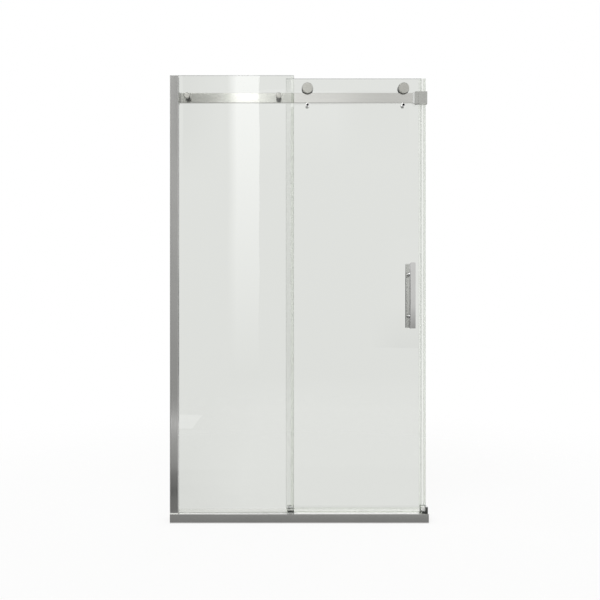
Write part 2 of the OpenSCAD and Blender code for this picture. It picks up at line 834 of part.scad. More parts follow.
module anti_lift_washers() {
  color("#e4e6e4") for (x = roller_xs, y = [-glass_half - washer_t, glass_half])
    washer_y(x, y, y + washer_t, lift_pin_z, lift_pin_r + 1, lift_screw_r + bolt_fit);
}

module anti_lift_screws() {
  y0 = glass_half + washer_t;
  color("#b9bab8") for (x = roller_xs) difference() {
    union() {
      rod_y(x, -glass_half - washer_t - 11, y0, lift_pin_z, lift_screw_r);
      round_cap(x, y0 + 4, y0, lift_pin_z, lift_pin_r, 1.5);
    }
    hex_socket(x, y0 + 2, y0 + 4 + eps, lift_pin_z, 2.3);
  }
}

// Square-edged pull bar with eased corners; y0 to y1 is its thickness
module pull_bar(y0, y1) {
  ease = 1.5;
  intersection() {
    along_z(handle_z - handle_l / 2, handle_z + handle_l / 2)
      soft_rect(handle_x - handle_w / 2, y0, handle_x + handle_w / 2, y1, 2);
    translate([handle_x, 0, 0]) along_x(-handle_w / 2, handle_w / 2)
      cut_rect(y0, handle_z - handle_l / 2, y1, handle_z + handle_l / 2, ease);
  }
}

module handle_outer() {
  color("#b7b8b5") pull_bar(-glass_half - handle_reach, -glass_half - handle_reach + handle_t);
}

module handle_inner() {
  color("#b7b8b5") pull_bar(glass_half + handle_reach - handle_t, glass_half + handle_reach);
}

// Turned stand-offs with a foot at the glass and a slight waist; side is -1 outside and 1 inside
module handle_standoff(z, side) {
  near = glass_half + washer_t;
  far = glass_half + handle_reach - handle_t;
  waist = 0.8;
  foot = 4;
  turn_y(handle_x, z) polygon([
    [0, side * near], [washer_r - 0.4, side * near], [washer_r, side * (near + 0.4)],
    [washer_r, side * (near + foot)], [washer_r - waist, side * (near + foot + waist)],
    [washer_r - waist, side * (far - waist)], [washer_r, side * far], [0, side * far],
  ]);
}

module handle_standoffs() {
  reach = glass_half + washer_t + bolt_grip + 1;
  color("#a2a3a0") for (z = handle_zs, side = [-1, 1]) difference() {
    handle_standoff(z, side);
    rod_y(handle_x, -reach, reach, z, stud_r + bolt_fit);
  }
}

module handle_washers() {
  color("#e4e6e4") for (z = handle_zs, y = [-glass_half - washer_t, glass_half])
    washer_y(handle_x, y, y + washer_t, z, washer_r, stud_r + bolt_fit);
}

module handle_bolts() {
  reach = glass_half + washer_t + bolt_grip;
  color("#c9cac8") for (z = handle_zs) rod_y(handle_x, -reach, reach, z, stud_r);
}

// Wheel with a flat tread between two flanges, a sunk web on both faces and a lip behind the bearing
module wheel(x) {
  web_d = 0.9;
  web_r0 = bearing_r + 2.2;
  web_r1 = tread_r + 3;
  groove_half = rail_t / 2 + rail_side_gap;
  lip_r = bearing_r - 1.5;
  y0 = rail_mid - wheel_half;
  y1 = rail_mid + wheel_half;
  ease = 0.6;
  color("#4b4c4c") turn_y(x, wheel_z) polygon([
    [bearing_r + bolt_fit, y0], [web_r0, y0], [web_r0 + ease, y0 + web_d],
    [web_r1 - ease, y0 + web_d], [web_r1, y0], [flange_r - ease, y0], [flange_r, y0 + ease],
    [flange_r, rail_mid - groove_half - ease], [tread_r, rail_mid - groove_half],
    [tread_r, rail_mid + groove_half], [flange_r, rail_mid + groove_half + ease],
    [flange_r, y1 - ease], [flange_r - ease, y1], [web_r1, y1], [web_r1 - ease, y1 - web_d],
    [web_r0 + ease, y1 - web_d], [web_r0, y1], [lip_r, y1],
    [lip_r, rail_mid + bearing_half], [bearing_r + bolt_fit, rail_mid + bearing_half],
  ]);
}

module bearing_outer(x) {
  color("#c9cac8") turn_y(x, wheel_z) ring_section(bearing_r - bearing_outer_wall, bearing_r);
}

module balls(x) {
  color("#d8d9d8") for (i = [0:ball_count - 1]) translate([x, rail_mid, wheel_z])
    rotate([0, i * 360 / ball_count, 0]) translate([ball_circle_r, 0, 0]) sphere(ball_r);
}

module wheel_left() { wheel(roller_xs[0]); }
module wheel_right() { wheel(roller_xs[1]); }
module bearing_left() { bearing_outer(roller_xs[0]); }
module bearing_right() { bearing_outer(roller_xs[1]); }
module balls_left() { balls(roller_xs[0]); }
module balls_right() { balls(roller_xs[1]); }

sill();
sill_filler();
setting_blocks();
sill_gasket();
wall_channel();
jamb_profile();
jamb_gasket();
jamb_cap();
jamb_foot();
jamb_screws();
fixed_panel();
fixed_panel_seal();
header_rail();
standoff_caps();
standoff_sleeves();
standoff_washers();
standoff_barrels();
rail_screws();
bracket_base_right();
rail_bracket_right();
bracket_base_left();
rail_bracket_left();
bracket_set_screws();
rail_bumper();
bottom_guide();
guide_liners();
guide_screws();
corner_guide();
corner_insert();
corner_screws();
open_stop();
open_stop_pad();
door_panel();
glass_sleeves();
strike_seal();
door_sweep();
roller_axles();
roller_washers();
roller_spacers();
bearing_inner_rings();
roller_caps();
roller_inner_caps();
anti_lift_pins();
anti_lift_washers();
anti_lift_screws();
handle_outer();
handle_inner();
handle_standoffs();
handle_washers();
handle_bolts();
wheel_left();
bearing_left();
balls_left();
wheel_right();
bearing_right();
balls_right();
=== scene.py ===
"""Sliding shower door: the finished pieces, their materials and a plain studio round them.

The construction is loaded as the frame. Pieces that stay as they were built get a material, and
pieces that show fine work are modelled here over the solids they stand for. Lengths are in metres.
"""

import math
from functools import partial

import bmesh
import bpy
from bpy.props import FloatProperty, FloatVectorProperty, PointerProperty
from mathutils import Matrix, Vector


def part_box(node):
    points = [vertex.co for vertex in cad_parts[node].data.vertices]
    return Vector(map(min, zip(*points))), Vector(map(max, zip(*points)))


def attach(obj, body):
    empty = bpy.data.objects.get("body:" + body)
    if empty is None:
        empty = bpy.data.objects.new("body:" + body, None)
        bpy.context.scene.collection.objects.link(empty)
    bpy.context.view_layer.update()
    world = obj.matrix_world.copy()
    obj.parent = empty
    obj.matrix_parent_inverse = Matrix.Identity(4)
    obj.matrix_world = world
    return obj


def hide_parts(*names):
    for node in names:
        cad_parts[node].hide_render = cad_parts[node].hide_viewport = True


bl_info = {
    "name": "Sliding Shower Door",
    "version": (1, 0, 0),
    "blender": (4, 5, 0),
    "location": "View3D > Sidebar > Shower Door",
    "description": "Builds the finished pieces, materials and studio of a sliding shower door",
    "category": "Object",
}

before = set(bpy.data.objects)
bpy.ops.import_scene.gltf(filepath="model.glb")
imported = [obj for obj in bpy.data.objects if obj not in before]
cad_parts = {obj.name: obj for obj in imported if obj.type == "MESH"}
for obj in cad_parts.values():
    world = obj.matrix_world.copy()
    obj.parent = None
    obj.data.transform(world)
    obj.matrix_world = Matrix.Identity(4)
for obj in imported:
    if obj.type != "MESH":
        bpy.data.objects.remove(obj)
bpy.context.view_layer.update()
MM = 0.001
X, Y, Z = range(3)
WHITE = (1.0, 1.0, 1.0, 1.0)
# Points nearer than this, in metres, are the same
CLOSE = 1e-6
# A face is square to an axis from this share of its normal along it
SQUARE = 0.99


def linear(hex_colour):
    """Linear RGBA of an sRGB hex colour."""
    parts = [int(hex_colour[i : i + 2], 16) / 255 for i in (1, 3, 5)]
    return tuple(c / 12.92 if c <= 0.04045 else ((c + 0.055) / 1.055) ** 2.4 for c in parts) + (1.0,)


def colour_property(name, description, hex_colour):
    """Setting for a colour, given in hex."""
    default = linear(hex_colour)
    return FloatVectorProperty(
        name=name, description=description, default=default, subtype="COLOR", size=4, min=0.0, max=1.0
    )


def length_property(name, description, millimetres):
    """Setting for a length, given in millimetres."""
    default = millimetres * MM
    return FloatProperty(name=name, description=description, default=default, unit="LENGTH", min=0.0)


class ShowerDoorSizes(bpy.types.PropertyGroup):
    """Small sizes that the finished pieces add to the construction"""

    sill_round: length_property("Sill round", "Radius of the sill's long edges", 1.0)
    sill_wall: length_property("Sill wall", "Wall of the sill's extrusion", 2.0)
    line_drop: length_property("Line drop", "Top of the sill's front line below its top", 1.4)
    line_height: length_property("Line height", "Height of the sill's front line", 1.3)
    line_depth: length_property("Line depth", "Depth of the sill's front line", 1.2)
    post_round: length_property("Post round", "Radius of the post's upright edges", 1.6)
    post_wall: length_property("Post wall", "Wall of the post's extrusion", 1.8)
    pane_bevel: length_property("Pane bevel", "Polished bevel round each sheet of glass", 1.0)
    bore_radius: length_property("Bore radius", "Radius of the bores in the glass", 8.0)
    stud_radius: length_property("Stud radius", "Radius of the studs through the glass", 4.0)
    fit: length_property("Fit", "Play of a stud in its hole", 0.05)
    cap_disc: length_property("Cap disc", "Thickness of the disc of a wheel's front cap", 10.0)
    bearing_radius: length_property("Bearing radius", "Outer radius of a wheel's bearing", 11.05)
    groove_half: length_property("Groove half width", "Half width of a wheel's groove", 5.4)
    bar_round: length_property("Bar round", "Radius of a pull bar's long edges", 2.0)
    bar_ease: length_property("Bar ease", "Bevel at the ends of a pull bar", 1.2)
    part_ease: length_property("Part ease", "Bevel on the edges of small metal parts", 0.4)


class ShowerDoorFinishes(bpy.types.PropertyGroup):
    """Colours of the materials"""

    aluminium: colour_property("Aluminium", "Bright anodised sill and post", "#bcbcba")
    rail: colour_property("Rail", "Polished stainless header rail", "#dcdcd8")
    fitting: colour_property("Fitting", "Satin stainless rail brackets", "#bdbeba")
    cap: colour_property("Cap", "Satin stainless wheel caps", "#bcbcb6")
    chrome: colour_property("Chrome", "Chrome plate of handle and stand-offs", "#ececeb")
    # The guides' dark plate is partly a painted dark reflection
    smoky_chrome_and_reflection: colour_property("Dark chrome", "Dark chrome plate of the guides", "#5a5b59")
    steel: colour_property("Steel", "Plain stainless fasteners", "#b9babb")
    # The glass's grey is painted shade: it lets through less than clear glass does, to darken all behind
    # it
    glass: colour_property("Glass", "Light that one face of the glass lets through", "#eff0ee")
    glass_edge: colour_property("Glass edge", "Polished edge of the glass", "#858e89")
    vinyl: colour_property("Vinyl", "Clear seals and glazing strips", "#f7f8f6")
    nylon: colour_property("Nylon", "White sleeves, liners and pads", "#e9eae6")
    bumper: colour_property("Bumper", "Pale rubber bumper", "#dcddda")
    # The spacers' black is partly painted shade under the stand-off caps
    rubber: colour_property("Rubber", "Black rubber pads and nylon spacers", "#1f2020")
    oxide: colour_property("Black oxide", "Blackened socket screws", "#2b2b2c")
    polymer: colour_property("Wheel", "Grey moulded wheels", "#3b3c3c")


class ShowerDoorStage(bpy.types.PropertyGroup):
    """Camera, lamps, floor and the cards that only reflections see"""

    camera_place: FloatVectorProperty(
        name="Camera place",
        description="Where the camera stands; it looks along +Y",
        subtype="TRANSLATION",
        unit="LENGTH",
        size=3,
        default=(-0.060, -2.959, 0.970),
    )
    camera_shift: FloatVectorProperty(
        name="Camera shift",
        description="Shift of the lens that frames the door",
        size=2,
        default=(0.02353, 0.0100),
    )
    camera_lens: FloatProperty(
        name="Lens", description="Focal length in millimetres", unit="CAMERA", default=38.993
    )
    sky: FloatProperty(
        name="Soft light", description="Strength of the all-round light on the object", default=0.72
    )
    sun: FloatProperty(name="Sun", description="Strength of the soft key lamp", default=1.0)
    floor: colour_property("Floor", "Colour of the floor", "#f8f8f7")
    floor_white: FloatProperty(
        name="Floor white",
        description="Share of plain white that the eye and mirrors see on the floor",
        subtype="FACTOR",
        default=0.8,
    )


def sizes():
    """The small sizes of this scene."""
    return bpy.context.scene.shower_door_sizes


# Materials


def add_node(tree, kind, inputs=None, **settings):
    """Adds a node with its settings; each input is given a value, or what to link to it.

    A node that is linked stands for its first output.
    """
    made = tree.nodes.new("ShaderNode" + kind)
    for name, value in settings.items():
        setattr(made, name, value)
    for key, value in (inputs or {}).items():
        if isinstance(value, bpy.types.Node):
            value = value.outputs[0]
        if isinstance(value, bpy.types.NodeSocket):
            tree.links.new(value, made.inputs[key])
        else:
            made.inputs[key].default_value = value
    return made


def start_nodes(owner):
    """Empties the nodes of a material or the world, and returns add_node for them."""
    owner.use_nodes = True
    owner.node_tree.nodes.clear()
    return partial(add_node, owner.node_tree)


def start_material(name):
    """An empty node material; returns it, add_node for its tree, and Object coordinates in metres."""
    material = bpy.data.materials.new(name)
    add = start_nodes(material)
    return material, add, add("TexCoord").outputs["Object"]


def toned(colour, share=1.0):
    """A colour with its light brought down to a share."""
    return [c * share for c in colour[:3]] + [1.0]


def add_lines(add, place, along, pitch, per_metre, detail):
    """Noise drawn out along one axis, as a die or a belt leaves its lines, pitch metres apart."""
    scale = [1 / pitch] * 3
    scale[along] = per_metre
    drawn = add("Mapping", {"Vector": place, "Scale": scale})
    return add("TexNoise", {"Vector": drawn, "Scale": 1.0, "Detail": detail})


def finish_opaque(material, add, colour, inputs, tones=None, gloss=None, relief=None):
    """Ends a material with an opaque shader, whose inputs follow patterns where these are given.

    tones holds what the colour follows and the shares of it at both ends; gloss what the
    roughness follows, the range of that and the roughness at both ends; and relief what the
    bump follows, its strength and its height.
    """
    inputs["Base Color"] = toned(colour)
    if tones:
        follows, low, high = tones
        ends = {0: follows, 6: toned(colour, low), 7: toned(colour, high)}
        inputs["Base Color"] = add("Mix", ends, data_type="RGBA").outputs[2]
    if gloss:
        follows, start, stop, low, high = gloss
        span = {"Value": follows, "From Min": start, "From Max": stop, "To Min": low, "To Max": high}
        inputs["Roughness"] = add("MapRange", span)
    if relief:
        follows, strength, height = relief
        bump = {"Height": follows, "Strength": strength, "Distance": height}
        inputs["Normal"] = add("Bump", bump)
    shader = add("BsdfPrincipled", inputs)
    add("OutputMaterial", {"Surface": shader})
    return material


def lined_metal(name, colour, along, pitch, roughness, depth):
    """Metal with fine lines along one axis, as a die or a long belt leaves them.

    The lines spread a reflection across them. Their pitch is in metres, coarser than the real
    ones so that they show, and each line runs for about half a metre.
    """
    material, add, place = start_material(name)
    lines = add_lines(add, place, along, pitch, 2.0, 3.0)
    # Anodising and polishing leave broad, faint clouds, here 150 mm across
    clouds = add("TexNoise", {"Vector": place, "Scale": 1 / 0.15, "Detail": 1.0})
    cover = add("MapRange", {"Value": clouds, "From Min": 0.3, "From Max": 0.7})
    return finish_opaque(
        material, add, colour, {"Metallic": 1.0}, tones=(cover, 0.96, 1.0),
        gloss=(lines, 0.3, 0.7, roughness * 0.75, roughness * 1.25), relief=(lines, 0.35, depth)
    )


def turned_metal(name, colour, x, z, pitch, roughness):
    """Metal faced on a lathe: fine rings about the Y axis through x and z."""
    material, add, place = start_material(name)
    centre = {"Vector": place, "Location": (x, 0.0, z)}
    centred = add("Mapping", centre, vector_type="TEXTURE")
    # A wave of scale 1 has a ring every 0.314 m
    wave = {"Vector": centred, "Scale": 0.314 / pitch, "Distortion": 0.6, "Detail": 1.0}
    rings = add("TexWave", wave, wave_type="RINGS", rings_direction="Y").outputs["Fac"]
    return finish_opaque(
        material, add, colour, {"Metallic": 1.0},
        gloss=(rings, 0.0, 1.0, roughness * 0.8, roughness * 1.2), relief=(rings, 0.2, 0.02 * MM)
    )


def plated_metal(name, colour, roughness):
    """Polished plate: a mirror whose gloss is dulled a little in patches, as handling leaves it."""
    material, add, place = start_material(name)
    patches = add("TexNoise", {"Vector": place, "Scale": 1 / 0.03, "Detail": 3.0})
    return finish_opaque(
        material, add, colour, {"Metallic": 1.0}, tones=(patches, 1.0, 0.94),
        gloss=(patches, 0.35, 0.75, roughness, roughness * 2.2)
    )


def moulded_plastic(name, colour, roughness, grain, ior=1.5):
    """Moulded nylon or rubber: an even colour, clouded a little, with the fine grain of the mould."""
    material, add, place = start_material(name)
    fine = add("TexNoise", {"Vector": place, "Scale": 1 / grain, "Detail": 2.0})
    broad = add("TexNoise", {"Vector": place, "Scale": 1 / 0.02, "Detail": 2.0})
    return finish_opaque(
        material, add, colour, {"IOR": ior}, tones=(broad, 1.0, 0.9),
        gloss=(fine, 0.0, 1.0, roughness * 0.85, roughness * 1.15), relief=(fine, 0.15, 0.05 * MM)
    )


def polished_edge(name, colour):
    """The ground and polished edge of float glass, where its depth shows as a grey green."""
    material, add, place = start_material(name)
    streaks = add("TexNoise", {"Vector": place, "Scale": 1 / 0.05, "Detail": 2.0})
    inputs = {"Roughness": 0.12, "IOR": 1.52, "Alpha": 0.45}
    return finish_opaque(material, add, colour, inputs, tones=(streaks, 1.0, 0.9))


def clear_plastic(name, colour, haze, along, pitch, milk=0.65, in_mirrors=0.0):
    """Clear plastic: light goes straight through most of it, and a milky share scatters it.

    The share is higher where the wall is seen along its length, and milk is how much of its
    light comes back. Lines of the die run along one axis, their pitch in metres. The straight
    path is a refraction of almost 1, so that many walls may lie behind each other, and lamps
    reach through. At 1, in_mirrors lets through what metal mirrors; that is for thin strips
    near the sill.
    """
    material, add, place = start_material(name)
    lines = add_lines(add, place, along, pitch, 3.0, 2.0)
    span = {"Value": lines, "From Min": 0.3, "From Max": 0.7, "To Min": haze * 0.8, "To Max": haze * 1.2}
    milky = add("MapRange", span)
    slant = add("LayerWeight", {"Blend": 0.35}).outputs["Facing"]
    sum_up = {"operation": "MULTIPLY_ADD", "use_clamp": True}
    share = add("Math", {0: slant, 1: 0.12, 2: milky}, **sum_up)
    clear = {"Color": toned(colour), "Roughness": 0.0, "IOR": 1.0005}
    straight = add("BsdfRefraction", clear)
    scattered = add("BsdfDiffuse", {"Color": toned(colour, milk)})
    body = add("MixShader", {0: share, 1: straight, 2: scattered})
    fresnel = add("Fresnel", {"IOR": 1.53})
    dull = add("Math", {0: fresnel, 1: 0.3}, operation="MULTIPLY")
    shine = add("BsdfAnisotropic", {"Color": WHITE, "Roughness": 0.15})
    glossy = add("MixShader", {0: dull, 1: body, 2: shine})
    through = add("BsdfTransparent", {"Color": toned(colour)})
    path = add("LightPath").outputs
    rays = {0: path["Is Glossy Ray"], 1: in_mirrors, 2: path["Is Shadow Ray"]}
    unseen = add("Math", rays, **sum_up)
    mixed = add("MixShader", {0: unseen, 1: glossy, 2: through})
    add("OutputMaterial", {"Surface": mixed})
    return material


def float_glass(name, colour):
    """Clear float glass: a grey tint, darker than clear glass, that is painted shade on all seen through
    it, and a mirror at the angle that glass is one.

    Toughening leaves a slight wave, about 300 mm long, that bends reflections. Only the face
    towards the eye mirrors, with twice the strength, so that one sheet mirrors once. What metal
    mirrors through the glass keeps its brightness. A sheet behind another adds less tint, as
    the overlap is hardly darker than one sheet.
    """
    material, add, place = start_material(name)
    wave = add("TexNoise", {"Vector": place, "Scale": 1 / 0.3, "Detail": 0.0})
    bump = add("Bump", {"Height": wave, "Strength": 0.2, "Distance": 2 * MM})
    fresnel = add("Fresnel", {"IOR": 1.52})
    inner = add("NewGeometry").outputs["Backfacing"]
    outer = add("Math", {0: 1.0, 1: inner}, operation="SUBTRACT")
    double = add("Math", {0: outer, 1: 1.9}, operation="MULTIPLY")
    share = add("Math", {0: fresnel, 1: double}, operation="MULTIPLY", use_clamp=True)
    path = add("LightPath").outputs
    # Past one and a half faces, a ray looks at a second sheet
    second = add("Math", {0: path["Transparent Depth"], 1: 1.5}, operation="GREATER_THAN")
    rays = {0: second, 1: 0.6, 2: path["Is Glossy Ray"]}
    clearer = add("Math", rays, operation="MULTIPLY_ADD", use_clamp=True)
    # The tint, greyer than clear glass, is painted shade on all seen through the sheet
    tint = add("Mix", {0: clearer, 6: toned(colour), 7: WHITE}, data_type="RGBA")
    through = add("BsdfTransparent", {"Color": tint.outputs[2]})
    mirror = add("BsdfAnisotropic", {"Color": WHITE, "Roughness": 0.0, "Normal": bump})
    mixed = add("MixShader", {0: share, 1: through, 2: mirror})
    add("OutputMaterial", {"Surface": mixed})
    return material


# Each material's maker, its colour among the finishes, and its details
MATERIALS = {
    # Extruded aluminium, chemically brightened and clear anodised: a soft grey mirror. The die
    # leaves upright lines hundredths of a millimetre apart, drawn 3 mm apart to show
    "anodised_aluminium_post": (
        lined_metal, "aluminium", {"along": Z, "pitch": 3 * MM, "roughness": 0.14, "depth": 0.02 * MM},
    ),
    # The same extrusion etched longer before anodising: duller, so that it mirrors only broad
    # areas, with its lines along the sill
    "anodised_aluminium_sill": (
        lined_metal, "aluminium", {"along": X, "pitch": 3 * MM, "roughness": 0.2, "depth": 0.02 * MM},
    ),
    # Aluminium as it left the press, not anodised: a dull grey with plain upright lines
    "mill_aluminium": (
        lined_metal, "aluminium", {"along": Z, "pitch": 2 * MM, "roughness": 0.32, "depth": 0.05 * MM},
    ),
    # Stainless flat bar, polished on a long belt: a bright mirror that smears reflections along
    # the bar. The belt's scratches are 0.1 mm apart, drawn 2.5 mm apart
    "belt_polished_steel": (
        lined_metal, "rail", {"along": X, "pitch": 2.5 * MM, "roughness": 0.16, "depth": 0.03 * MM},
    ),
    # Machined stainless blocks, brushed by hand along the rail: satin, with short soft scratches
    "satin_stainless": (
        lined_metal, "fitting", {"along": X, "pitch": 1.5 * MM, "roughness": 0.28, "depth": 0.03 * MM},
    ),
    # Stainless discs faced on a lathe: satin, with rings 0.1 mm apart, drawn 0.9 mm apart, that
    # pull a highlight into a soft bow tie
    "faced_stainless": (turned_metal, "cap", {"pitch": 0.9 * MM, "roughness": 0.3}),
    # Cold-headed stainless fasteners and ground bearing rings, tumbled bright
    "plain_steel": (plated_metal, "steel", {"roughness": 0.18}),
    # Socket screws, blackened in hot oxide and oiled: near black, with a low sheen
    "black_oxide_steel": (plated_metal, "oxide", {"roughness": 0.35}),
    # Brass, polished and chrome plated: a clean mirror, dulled a little where hands touch it
    "chrome_plate": (plated_metal, "chrome", {"roughness": 0.04}),
    # The stand-offs' caps, brushed before plating: satin, near the wheel caps in tone
    "satin_chrome_plate": (plated_metal, "cap", {"roughness": 0.22}),
    # Zinc castings with dark chrome plate: a smoky mirror, softer than the handle's, its dark partly a
    # painted dark reflection
    "dark_chrome_plate": (plated_metal, "smoky_chrome_and_reflection", {"roughness": 0.1}),
    # Toughened float glass, 8 mm: clear, with one faint mirror image on each sheet; its grey tint is
    # painted shade
    "float_glass": (float_glass, "glass", {}),
    # Its ground and polished edge: a thin grey green line round each sheet
    "polished_glass_edge": (polished_edge, "glass_edge", {}),
    # Extruded clear vinyl of the seals and glazing strips: a milky, see-through lip with lines
    # of the die 1 mm apart, drawn 2 mm apart
    "upright_vinyl": (clear_plastic, "vinyl", {"haze": 0.05, "along": Z, "pitch": 2 * MM}),
    "level_vinyl": (
        clear_plastic, "vinyl", {"haze": 0.05, "along": X, "pitch": 2 * MM, "in_mirrors": 1.0},
    ),
    # The strips that wedge the glass in its channels: the same vinyl, softer, and milky white as a
    # painted highlight along the sill's top edge
    "milky_vinyl": (
        clear_plastic,
        "vinyl",
        {"haze": 0.9, "along": X, "pitch": 2 * MM, "milk": 1.0, "in_mirrors": 1.0},
    ),
    # Stamped washers of clear polythene: hazier than the seals, clouded every 3 mm
    "clear_polythene": (clear_plastic, "vinyl", {"haze": 0.3, "along": Y, "pitch": 3 * MM}),
    # Injection-moulded natural nylon: off-white and silky, with the mould's fine spark grain,
    # 0.1 mm, drawn at 0.6 mm
    "moulded_white_nylon": (moulded_plastic, "nylon", {"roughness": 0.4, "grain": 0.6 * MM}),
    # Soft pale rubber, moulded: matt, so that it gives no highlight beside the polished rail
    "soft_pale_rubber": (moulded_plastic, "bumper", {"roughness": 0.55, "grain": 0.5 * MM}),
    # Black rubber pads, moulded: matt, with a fine grain
    "black_rubber": (moulded_plastic, "rubber", {"roughness": 0.5, "grain": 0.5 * MM}),
    # Black nylon rod turned to spacers: a soft shine round the barrel; their black is partly painted
    # shade under the stand-off caps
    "turned_black_nylon": (
        moulded_plastic, "rubber", {"roughness": 0.3, "grain": 0.8 * MM, "ior": 1.4},
    ),
    # Glass-filled nylon of the wheels, moulded: dark grey, silky on the tread
    "moulded_grey_nylon": (moulded_plastic, "polymer", {"roughness": 0.38, "grain": 0.6 * MM}),
}


def material(name, place="", **details):
    """The named material, made once; place tells apart those that are centred on one piece."""
    maker, colour, settings = MATERIALS[name]
    full_name = name + place
    colours = bpy.context.scene.shower_door_finishes
    return bpy.data.materials.get(full_name) or maker(
        full_name, getattr(colours, colour), **settings, **details
    )


# Shapes


def bevel(bm, geom, width, segments, affect="EDGES"):
    """Bevels edges with a round of some segments, or corners of a flat outline."""
    reach = {"offset": width, "offset_type": "OFFSET", "clamp_overlap": affect == "EDGES"}
    shape = {"segments": segments, "profile": 0.5, "affect": affect, "material": -1}
    bmesh.ops.bevel(bm, geom=geom, **reach, **shape)


def is_corner(edge, least=1.0):
    """Whether the two faces of an edge turn by at least an angle, in radians."""
    return edge.is_manifold and edge.calc_face_angle() > least


def runs_along(edge, axis):
    """Whether the two ends of an edge are apart along an axis."""
    return abs(edge.verts[0].co[axis] - edge.verts[1].co[axis]) > CLOSE


def lies_at(edge, axis, *levels):
    """Whether an edge lies at one of the levels along an axis."""
    return any(all(abs(v.co[axis] - level) < CLOSE for v in edge.verts) for level in levels)


def rectangle(a0, b0, a1, b1):
    """Corners of a rectangle between two opposite ones."""
    return [(a0, b0), (a1, b0), (a1, b1), (a0, b1)]


def stand(outline, axis, level):
    """Points of a flat outline (a, b), placed square to an axis at a level along it."""
    return [(*point[:axis], level, *point[axis:]) for point in outline]


def add_face(bm, points):
    """Face through the points."""
    return bm.faces.new([bm.verts.new(point) for point in points])


def add_loop(bm, points):
    """Closed loop of edges through the points."""
    verts = [bm.verts.new(point) for point in points]
    for pair in zip(verts, verts[1:] + verts[:1]):
        bm.edges.new(pair)


def push(bm, faces, shift):
    """Draws faces out by a shift, and returns the corners at the far end."""
    pushed = bmesh.ops.extrude_face_region(bm, geom=faces)["geom"]
    verts = [g for g in pushed if isinstance(g, bmesh.types.BMVert)]
    bmesh.ops.translate(bm, verts=verts, vec=shift)
    return verts


def to_front(x, y, z):
    """Matrix that stands a flat round shape upright at a point, facing the front."""
    return Matrix.Translation((x, y, z)) @ Matrix.Rotation(math.pi / 2, 4, "X")


def steps_from(radius, y, *steps):
    """Points of a turned profile, each a step (outwards, backwards) in millimetres from a corner."""
    return [(radius + out * MM, y + back * MM) for out, back in steps]


def turned(centres, *profiles, closed=False, steps=64):
    """New bmesh: profiles of (radius, y) pairs turned about the Y axis through each centre."""
    bm = bmesh.new()
    for x, z in centres:
        for profile in profiles:
            verts = [bm.verts.new((x + r, y, z)) for r, y in profile]
            edges = [bm.edges.new(pair) for pair in zip(verts, verts[1:])]
            if closed:
                edges.append(bm.edges.new((verts[-1], verts[0])))
            axis = {"cent": (x, 0.0, z), "axis": (0.0, 1.0, 0.0)}
            full = {"angle": math.tau, "steps": steps, "use_merge": True}
            bmesh.ops.spin(bm, geom=verts + edges, **axis, **full)
            bmesh.ops.remove_doubles(bm, verts=bm.verts, dist=CLOSE)
    return bm


def add_sockets(bm, centres, rim, y_face, y_floor):
    """Closes the open round faces of radius rim with hexagon sockets down to y_floor."""
    across = 3.4 * MM
    for x, z in centres:
        centre = Vector((x, y_face, z))
        place = to_front(*centre)
        open_rim = [
            e
            for e in bm.edges
            if e.is_boundary and all(abs((v.co - centre).length - rim) < 10 * CLOSE for v in e.verts)
        ]
        hexagon = bmesh.ops.create_circle(bm, radius=across, segments=6, matrix=place)["verts"]
        top = list({e for v in hexagon for e in v.link_edges})
        bmesh.ops.bridge_loops(bm, edges=open_rim + top)
        deep = bmesh.ops.extrude_edge_only(bm, edges=top)["geom"]
        lower = [g for g in deep if isinstance(g, bmesh.types.BMVert)]
        bmesh.ops.translate(bm, verts=lower, vec=(0.0, y_floor - y_face, 0.0))
        bmesh.ops.contextual_create(bm, geom=[g for g in deep if isinstance(g, bmesh.types.BMEdge)])


def bar(lo, hi, along, round_radius, end_ease):
    """New bmesh: a block with round edges along one axis and a small bevel at its two ends."""
    lo, hi = Vector(lo), Vector(hi)
    place = Matrix.Translation((lo + hi) / 2) @ Matrix.Diagonal((*(hi - lo), 1.0))
    bm = bmesh.new()
    bmesh.ops.create_cube(bm, size=1.0, matrix=place)
    bevel(bm, [e for e in bm.edges if runs_along(e, along)], round_radius, 4)
    bevel(bm, [e for e in bm.edges if lies_at(e, along, lo[along], hi[along])], end_ease, 2)
    return bm


def section(outline, along, start, end, rounds=(), hollows=()):
    """New bmesh: a closed outline drawn out along an axis, with rounded corners and hollows.

    rounds holds (radius, corner numbers) pairs, and hollows holds (a, b, a, b) rectangles.
    """
    bm = bmesh.new()
    verts = add_face(bm, stand(outline, along, start)).verts[:]
    for radius, corners in rounds:
        bevel(bm, [verts[i] for i in corners], radius, 4, "VERTICES")
    if hollows:
        bmesh.ops.delete(bm, geom=bm.faces[:], context="FACES_ONLY")
        for hollow in hollows:
            add_loop(bm, stand(rectangle(*hollow), along, start))
        bmesh.ops.triangle_fill(bm, edges=bm.edges[:], use_beauty=True)
    shift = Vector((0.0, 0.0, 0.0))
    shift[along] = end - start
    push(bm, bm.faces[:], shift)
    return bm


def eased_copy(node, width):
    """New bmesh: a merged copy of a node's mesh, with its long straight edges eased."""
    bm = bmesh.new()
    bm.from_mesh(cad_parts[node].data)
    bmesh.ops.remove_doubles(bm, verts=bm.verts, dist=CLOSE)
    bmesh.ops.dissolve_limit(bm, angle_limit=0.01, verts=bm.verts, edges=bm.edges)
    long_edges = [e for e in bm.edges if is_corner(e, 0.9) and e.calc_length() > 6 * width]
    bevel(bm, long_edges, width, 2)
    return bm


